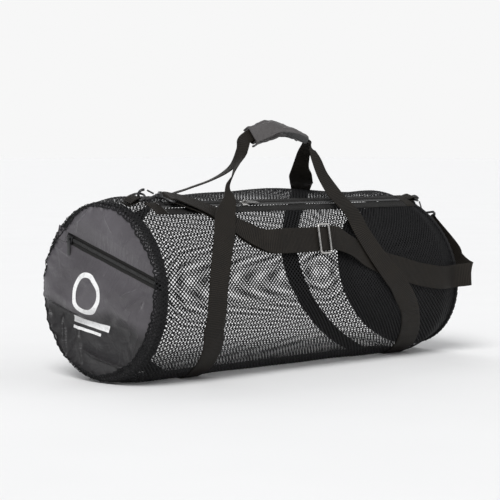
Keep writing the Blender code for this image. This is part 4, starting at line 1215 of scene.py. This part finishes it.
def make_handle_webbing(side, rows, nodes):
    """One length of webbing: up from under the bag, through the grip and down under the bag again."""
    left, right = [band_sections(*band) for band in BANDS[side]]
    arch = handle_sections(rows)
    left = same_way(left[::-1], arch)
    right = same_way(right[::-1], arch[::-1])[::-1]
    sections = np.concatenate([left, arch, right])
    along = run_length(sections.mean(axis=1))
    across = STRAP_PROFILE[:, 0] * WEBBING_WIDTH / 2
    piece = sheath(f"{side}_webbing", sections, along, across, "webbing", "webbing")
    root = Vector(on_skin(0, BANDS[side][0][0], 0))
    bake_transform(piece)
    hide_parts(*nodes)
    band_stitches(side)


BAND_SEAM = 0.0036  # of a band's rows of thread, in from its edges
SEWN = (0.01, 0.93)  # the share of a band that has thread, from its root
BOX = 0.036  # length of the crossed box at a band's root


def band_stitches(side):
    """Thread along both edges of each band, and a crossed box where the handle leaves it."""
    runs = []
    for root, bottom, root_x, bottom_x in BANDS[side]:
        slope = 2 * (bottom_x - root_x) / (abs(bottom - root) * RADIUS)

        def at(t, s):
            angle = root + (bottom - root) * t
            x = root_x + (bottom_x - root_x) * t * (2 - t)
            half = (WEBBING_WIDTH / 2 - BAND_SEAM) * math.hypot(1, slope * (1 - t))
            normal = (0, -math.sin(angle), math.cos(angle))
            return on_skin(x + s * half, angle, SKIN_FLOOR + 0.0001), normal

        runs += [[at(t, s) for t in np.linspace(*SEWN, 60)] for s in (-1, 1)]
        box = BOX / (abs(bottom - root) * RADIUS)
        steps = np.linspace(0, 1, 14)
        runs.append([at(SEWN[0], 2 * k - 1) for k in steps])
        runs.append([at(SEWN[0] + box, 2 * k - 1) for k in steps])
        runs.append([at(SEWN[0] + box * k, 2 * k - 1) for k in steps])
        runs.append([at(SEWN[0] + box * k, 1 - 2 * k) for k in steps])
    stitch_row(f"{side}_band_stitches", runs, "bag")


GRIP_HALF = (0.0124, 0.0043)  # half the grip's width and thickness inside its wrap
ROUND_GRIP = 0.012  # length round the grip for each radian


def grip_cloth(first, last, inside, thickness, hem, seed):
    """Sections of the wrap from first to last degrees round the grip from its mouth, with the lengths along
    and round it.
    """
    mouth = math.copysign(math.pi / 2, -frames_along(GRIP)[2][3].y)
    frames = frames_along(smooth_run(GRIP, 0.0022)[5:-5])
    place = np.array([f[0] for f in frames])
    across = np.array([f[2] for f in frames])
    normal = np.array([f[3] for f in frames])
    length = run_length(place)
    turns = mouth + np.radians(np.linspace(first, last, round((last - first) / 4) + 1))
    along = length[:, None]
    round_it = turns[None, :] * ROUND_GRIP
    narrow = 1 - 0.26 * ease((along / length[-1] - 0.40) / 0.25)
    from_end = np.minimum(along, length[-1] - along)
    wrinkle = 0.0006 * waves(along, round_it, seed, 0.030) + 0.0004 * waves(along, round_it, seed + 1, 0.011)
    folds = 0 * wrinkle
    for number, level in enumerate(np.linspace(turns[0], turns[-1], 8)[1:-1] * ROUND_GRIP):
        start, end = ((0.004, level - 0.004), (0.082, level + 0.005))
        if number % 2:
            start, end = ((0.126, level - 0.003), (0.052, level + 0.004))
        folds = folds + crease(along, round_it, start, end, 0.0015, 0.0026)
    rolled = hem * np.exp(-((from_end - 0.003) / 0.0028) ** 2)
    edge = np.minimum(turns - turns[0], turns[-1] - turns)[None, :] * ROUND_GRIP
    rolled = rolled + 0.6 * hem * np.exp(-((edge - 0.0016) / 0.0014) ** 2)
    outside = inside + thickness + rolled + np.maximum(1.5 * wrinkle, -0.0006) + folds
    walls = []
    for lift in (outside, inside + 0.3 * wrinkle):
        c, s = np.cos(turns)[None, :], np.sin(turns)[None, :]
        a = (GRIP_HALF[0] * narrow + lift) * np.copysign(np.abs(c) ** 0.5, c)
        n = (GRIP_HALF[1] + lift) * np.copysign(np.abs(s) ** 0.5, s)
        walls.append(place[:, None] + across[:, None] * a[..., None] + normal[:, None] * n[..., None])
    sections = np.concatenate([walls[0], walls[1][:, ::-1]], axis=1)
    around = np.concatenate([turns, turns[::-1]]) * ROUND_GRIP
    return sections, length, around


def make_grip():
    wrap = grip_cloth(58, 302, 0.0, 0.0013, 0.0004, 51)
    sleeve = sheath("grip_sleeve_cloth", *wrap, "grip_nylon", "nylon", "rear_handle")
    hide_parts("grip_sleeve")
    wrap = grip_cloth(-122, 122, 0.0034, 0.0014, 0.0008, 61)
    flap = sheath("grip_flap_cloth", *wrap, "grip_nylon", "nylon")
    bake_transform(flap)
    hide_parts("grip_flap")


# ---------------------------------------------------------------- rings' tabs and shoulder strap
def hook_frame(side):
    """The hook's frame, from its joints: X leads from the ring to the strap, Y lies along the strap's bar."""
    swivel, gate = JOINTS[f"{side}_hook_swivel"], JOINTS[f"{side}_gate_press"]
    x, y = Vector(swivel["axis"]), Vector(gate["axis"])
    return axes(swivel["pos_m"], x, x.cross(y))


TAB_TURN = 0.00315  # radius of a tab's turn round its ring
TAB_WIDTH = 0.0210


def make_ring_tab(side, base, low_lift, bar_lift):
    """A doubled webbing tab, sewn to the mesh at base and turned round the ring's bar."""
    bar_x = base + 0.018
    steps = [-math.pi / 2 + math.pi * k / 12 for k in range(13)]
    under_bar = max(low_lift + 0.0005, bar_lift - TAB_TURN - 0.0012)
    profile = [(base - 0.001, low_lift), (bar_x - 0.006, under_bar)]
    profile += [(bar_x + TAB_TURN * math.cos(t), bar_lift + TAB_TURN * math.sin(t)) for t in steps]
    profile += [(bar_x - 0.006, bar_lift + TAB_TURN - 0.0004), (base, low_lift + 0.0040)]
    rows = [packed_row(on_skin(x, END_ROLL, height), down_round(END_ROLL)) for x, height in profile]
    frames = frames_along(smooth_run(rows, 0.0015))
    widths = [TAB_WIDTH] * len(frames)
    sections = strap_sections(frames, widths, 0.0014)
    length = run_length([f[0] for f in frames])
    across = STRAP_PROFILE[:, 0] * TAB_WIDTH / 2
    piece = sheath(f"{side}_tab_webbing", sections, length, across, "webbing", "webbing", "bag")
    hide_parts(f"{side}_ring_tab")
    tail = frames[-9:-2]
    normal_up = [f[3] if f[3].z > 0 else -f[3] for f in tail]
    runs = []
    for index in (2, 5):
        place, across, up = tail[index][0], tail[index][2], normal_up[index]
        runs.append([(place + across * s + up * 0.0008, up) for s in np.linspace(-0.009, 0.009, 10)])
    stitch_row(f"{side}_tab_stitches", runs, "bag", CLOSE_STITCHES)


STRAP_LEVEL = math.radians(62)  # the straight stretch's angle round the bag
STRAP_TILT = math.radians(80)  # the same for the way that it faces
STRAP_LIFT = 0.0140
UNDER_STRAP = 0.0062  # from the strap down to its doubled end


def turn_rows(centre, run, out, across, first, last, steps):
    """Rows of a strap's turn round a bar, with a short straight lead at each end."""
    places = []
    for k in range(steps + 1):
        t = math.radians(first + (last - first) * k / steps)
        places.append(centre + (run * math.cos(t) + out * math.sin(t)) * STRAP_TURN)
    places = [places[0] + run * 0.006, *places, places[-1] + run * 0.006]
    return [packed_row(place, across) for place in places]


def hanging_row(x, under=0.0):
    """A row of the strap's straight stretch, or of the doubled end that lies under it."""
    r = RADIUS + float(bulge(x, STRAP_LEVEL))
    place = Vector((x, 0, AXIS_HEIGHT)) + out_of_bag(STRAP_LEVEL) * (r + STRAP_LIFT) + SHIFT
    return packed_row(place - out_of_bag(STRAP_TILT) * under, down_round(STRAP_TILT))


def strap_run():
    """The shoulder strap, from its doubled end round the left eye and along the bag to the right eye."""
    under = [
        hanging_row(-0.048, UNDER_STRAP),
        hanging_row(-0.075, UNDER_STRAP),
        hanging_row(-0.105, UNDER_STRAP),
        strap_row(-0.140, 60, 0.0050),
        strap_row(-0.170, 54, 0.0036),
        strap_row(-0.199, 44, 0.0040),
        strap_row(-0.226, 34, 0.0050),
        strap_row(-0.255, 27.5, 0.0068),
    ]
    left = hook_frame("left")
    bar = left @ Vector((EYE_BAR, 0, 0))
    run, out = Vector(left.col[0][:3]), Vector(left.col[2][:3])
    out = out if out.z > 0 else -out
    round_left = turn_rows(bar, run, out, Vector(left.col[1][:3]), 270, 90, 8)
    over = [
        strap_row(-0.258, 27, 0.0122),
        strap_row(-0.226, 34, 0.0086),
        strap_row(-0.199, 44, 0.0076),
        strap_row(-0.170, 54, 0.0080),
        strap_row(-0.143, 60, 0.0105),
        hanging_row(-0.118),
        hanging_row(-0.095),
        hanging_row(-0.045),
        hanging_row(0.000),
        hanging_row(0.022),
        strap_row(0.060, 66, 0.0100),
        strap_row(0.102, 73, 0.0035),
        strap_row(0.150, 79, 0.0016),
        strap_row(0.197, 83.5, 0.0016),
        strap_row(0.245, 88, 0.0018),
        strap_row(0.300, 91, 0.0040),
        strap_row(0.345, 91, 0.0080),
        free_row((0.374, -0.165, 0.150), (0, -0.05, -1)),
        free_row((0.384, -0.157, 0.152), (-0.24, 0.05, -1)),
        free_row((0.387, -0.141, 0.157), (-0.30, 0.20, -1)),
        free_row((0.392, -0.120, 0.170), (-0.08, 0.50, -0.85)),
        free_row((0.394, -0.104, 0.192), (0, 0.72, -0.68)),
    ]
    right = hook_frame("right")
    bar = right @ Vector((EYE_BAR, 0, 0))
    run, out = Vector(right.col[0][:3]), Vector(right.col[2][:3])
    out = out if out.x > 0 else -out
    across = Vector(right.col[1][:3])
    round_right = turn_rows(bar, run, out, across, 90, 270, 8)
    tail = [packed_row(bar + run * 0.034 - out * 0.0030, across)]
    head = smooth_run(under, FINE)
    main = smooth_run([round_left[-1], *over, round_right[0]], FINE)
    return head + round_left[:-1] + main + round_right[1:] + tail


def make_shoulder_strap():
    run = strap_run()
    keep_side(run)
    frames = frames_along(run)
    widths = [WEBBING_WIDTH] * len(frames)
    sections = strap_sections(frames, widths)
    length = run_length([f[0] for f in frames])
    across = STRAP_PROFILE[:, 0] * WEBBING_WIDTH / 2
    piece = sheath("shoulder_strap_webbing", sections, length, across, "webbing", "webbing", "bag")
    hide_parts("shoulder_strap")


# ---------------------------------------------------------------- hardware that keeps its modelled shape
CAST_PARTS = ("d_ring", "hook_body", "hook_gate", "hook_eye")
CASTINGS = [f"{side}_{part}" for part in CAST_PARTS for side in ("left", "right")]
SMOOTHED = {**dict.fromkeys(CASTINGS, "black_metal"), "strap_adjuster": "nickel"}
BEVELLED = {
    "main_zip_slider": "nickel",
    "main_zip_pull": "nickel",
    "pocket_zip_slider": "black_metal",
    "pocket_zip_pull": "black_metal",
    "grip_loop_strip": "velcro",
    "grip_hook_strip": "velcro",
}
# How much stouter the castings are than the plain wires that stand for them.
THICKENED = {
    "left_d_ring": 0.0001,
    "right_d_ring": 0.0003,
    "left_hook_body": 0.0004,
    "right_hook_body": 0.0008,
    "left_hook_eye": 0.0006,
    "right_hook_eye": 0.0006,
}


def dress_hardware():
    """Better materials, rounder wires and softened edges on the model's own pieces."""
    for name, mat in {**SMOOTHED, **BEVELLED}.items():
        piece = frame["nodes"][name]
        piece.data.materials.clear()
        piece.data.materials.append(MATS[mat])
        weld = piece.modifiers.new("weld", "WELD")
        weld.merge_threshold = 0.00002
        if name in THICKENED:
            swell = piece.modifiers.new("cast_thickness", "DISPLACE")
            swell.strength = THICKENED[name]
            swell.mid_level = 0
        bevel = piece.modifiers.new("soft_edges", "BEVEL")
        bevel.width = 0.00025 if name in SMOOTHED else 0.0004
        bevel.segments = 2
        bevel.limit_method = "ANGLE"
        bevel.angle_limit = math.radians(50)
        piece.data.shade_smooth()


# ---------------------------------------------------------------- build
make_camera()
make_stage()
make_lights()
make_mesh()
make_hems()
make_pocket()
make_pocket_seam()
make_far_panel()
make_far_binding()
make_print()
make_zips()
for hand, handle_rows in (("front", front_handle_rows()), ("rear", rear_handle_rows())):
    sewn_nodes = (f"{hand}_handle", f"{hand}_left_band", f"{hand}_right_band")
    make_handle_webbing(hand, handle_rows, sewn_nodes)
make_grip()
make_ring_tab("left", -0.3690, 0.0016, 0.0075)
make_ring_tab("right", FAR_END[0] - 0.0060, 0.0038, 0.0088)
make_shoulder_strap()
dress_hardware()
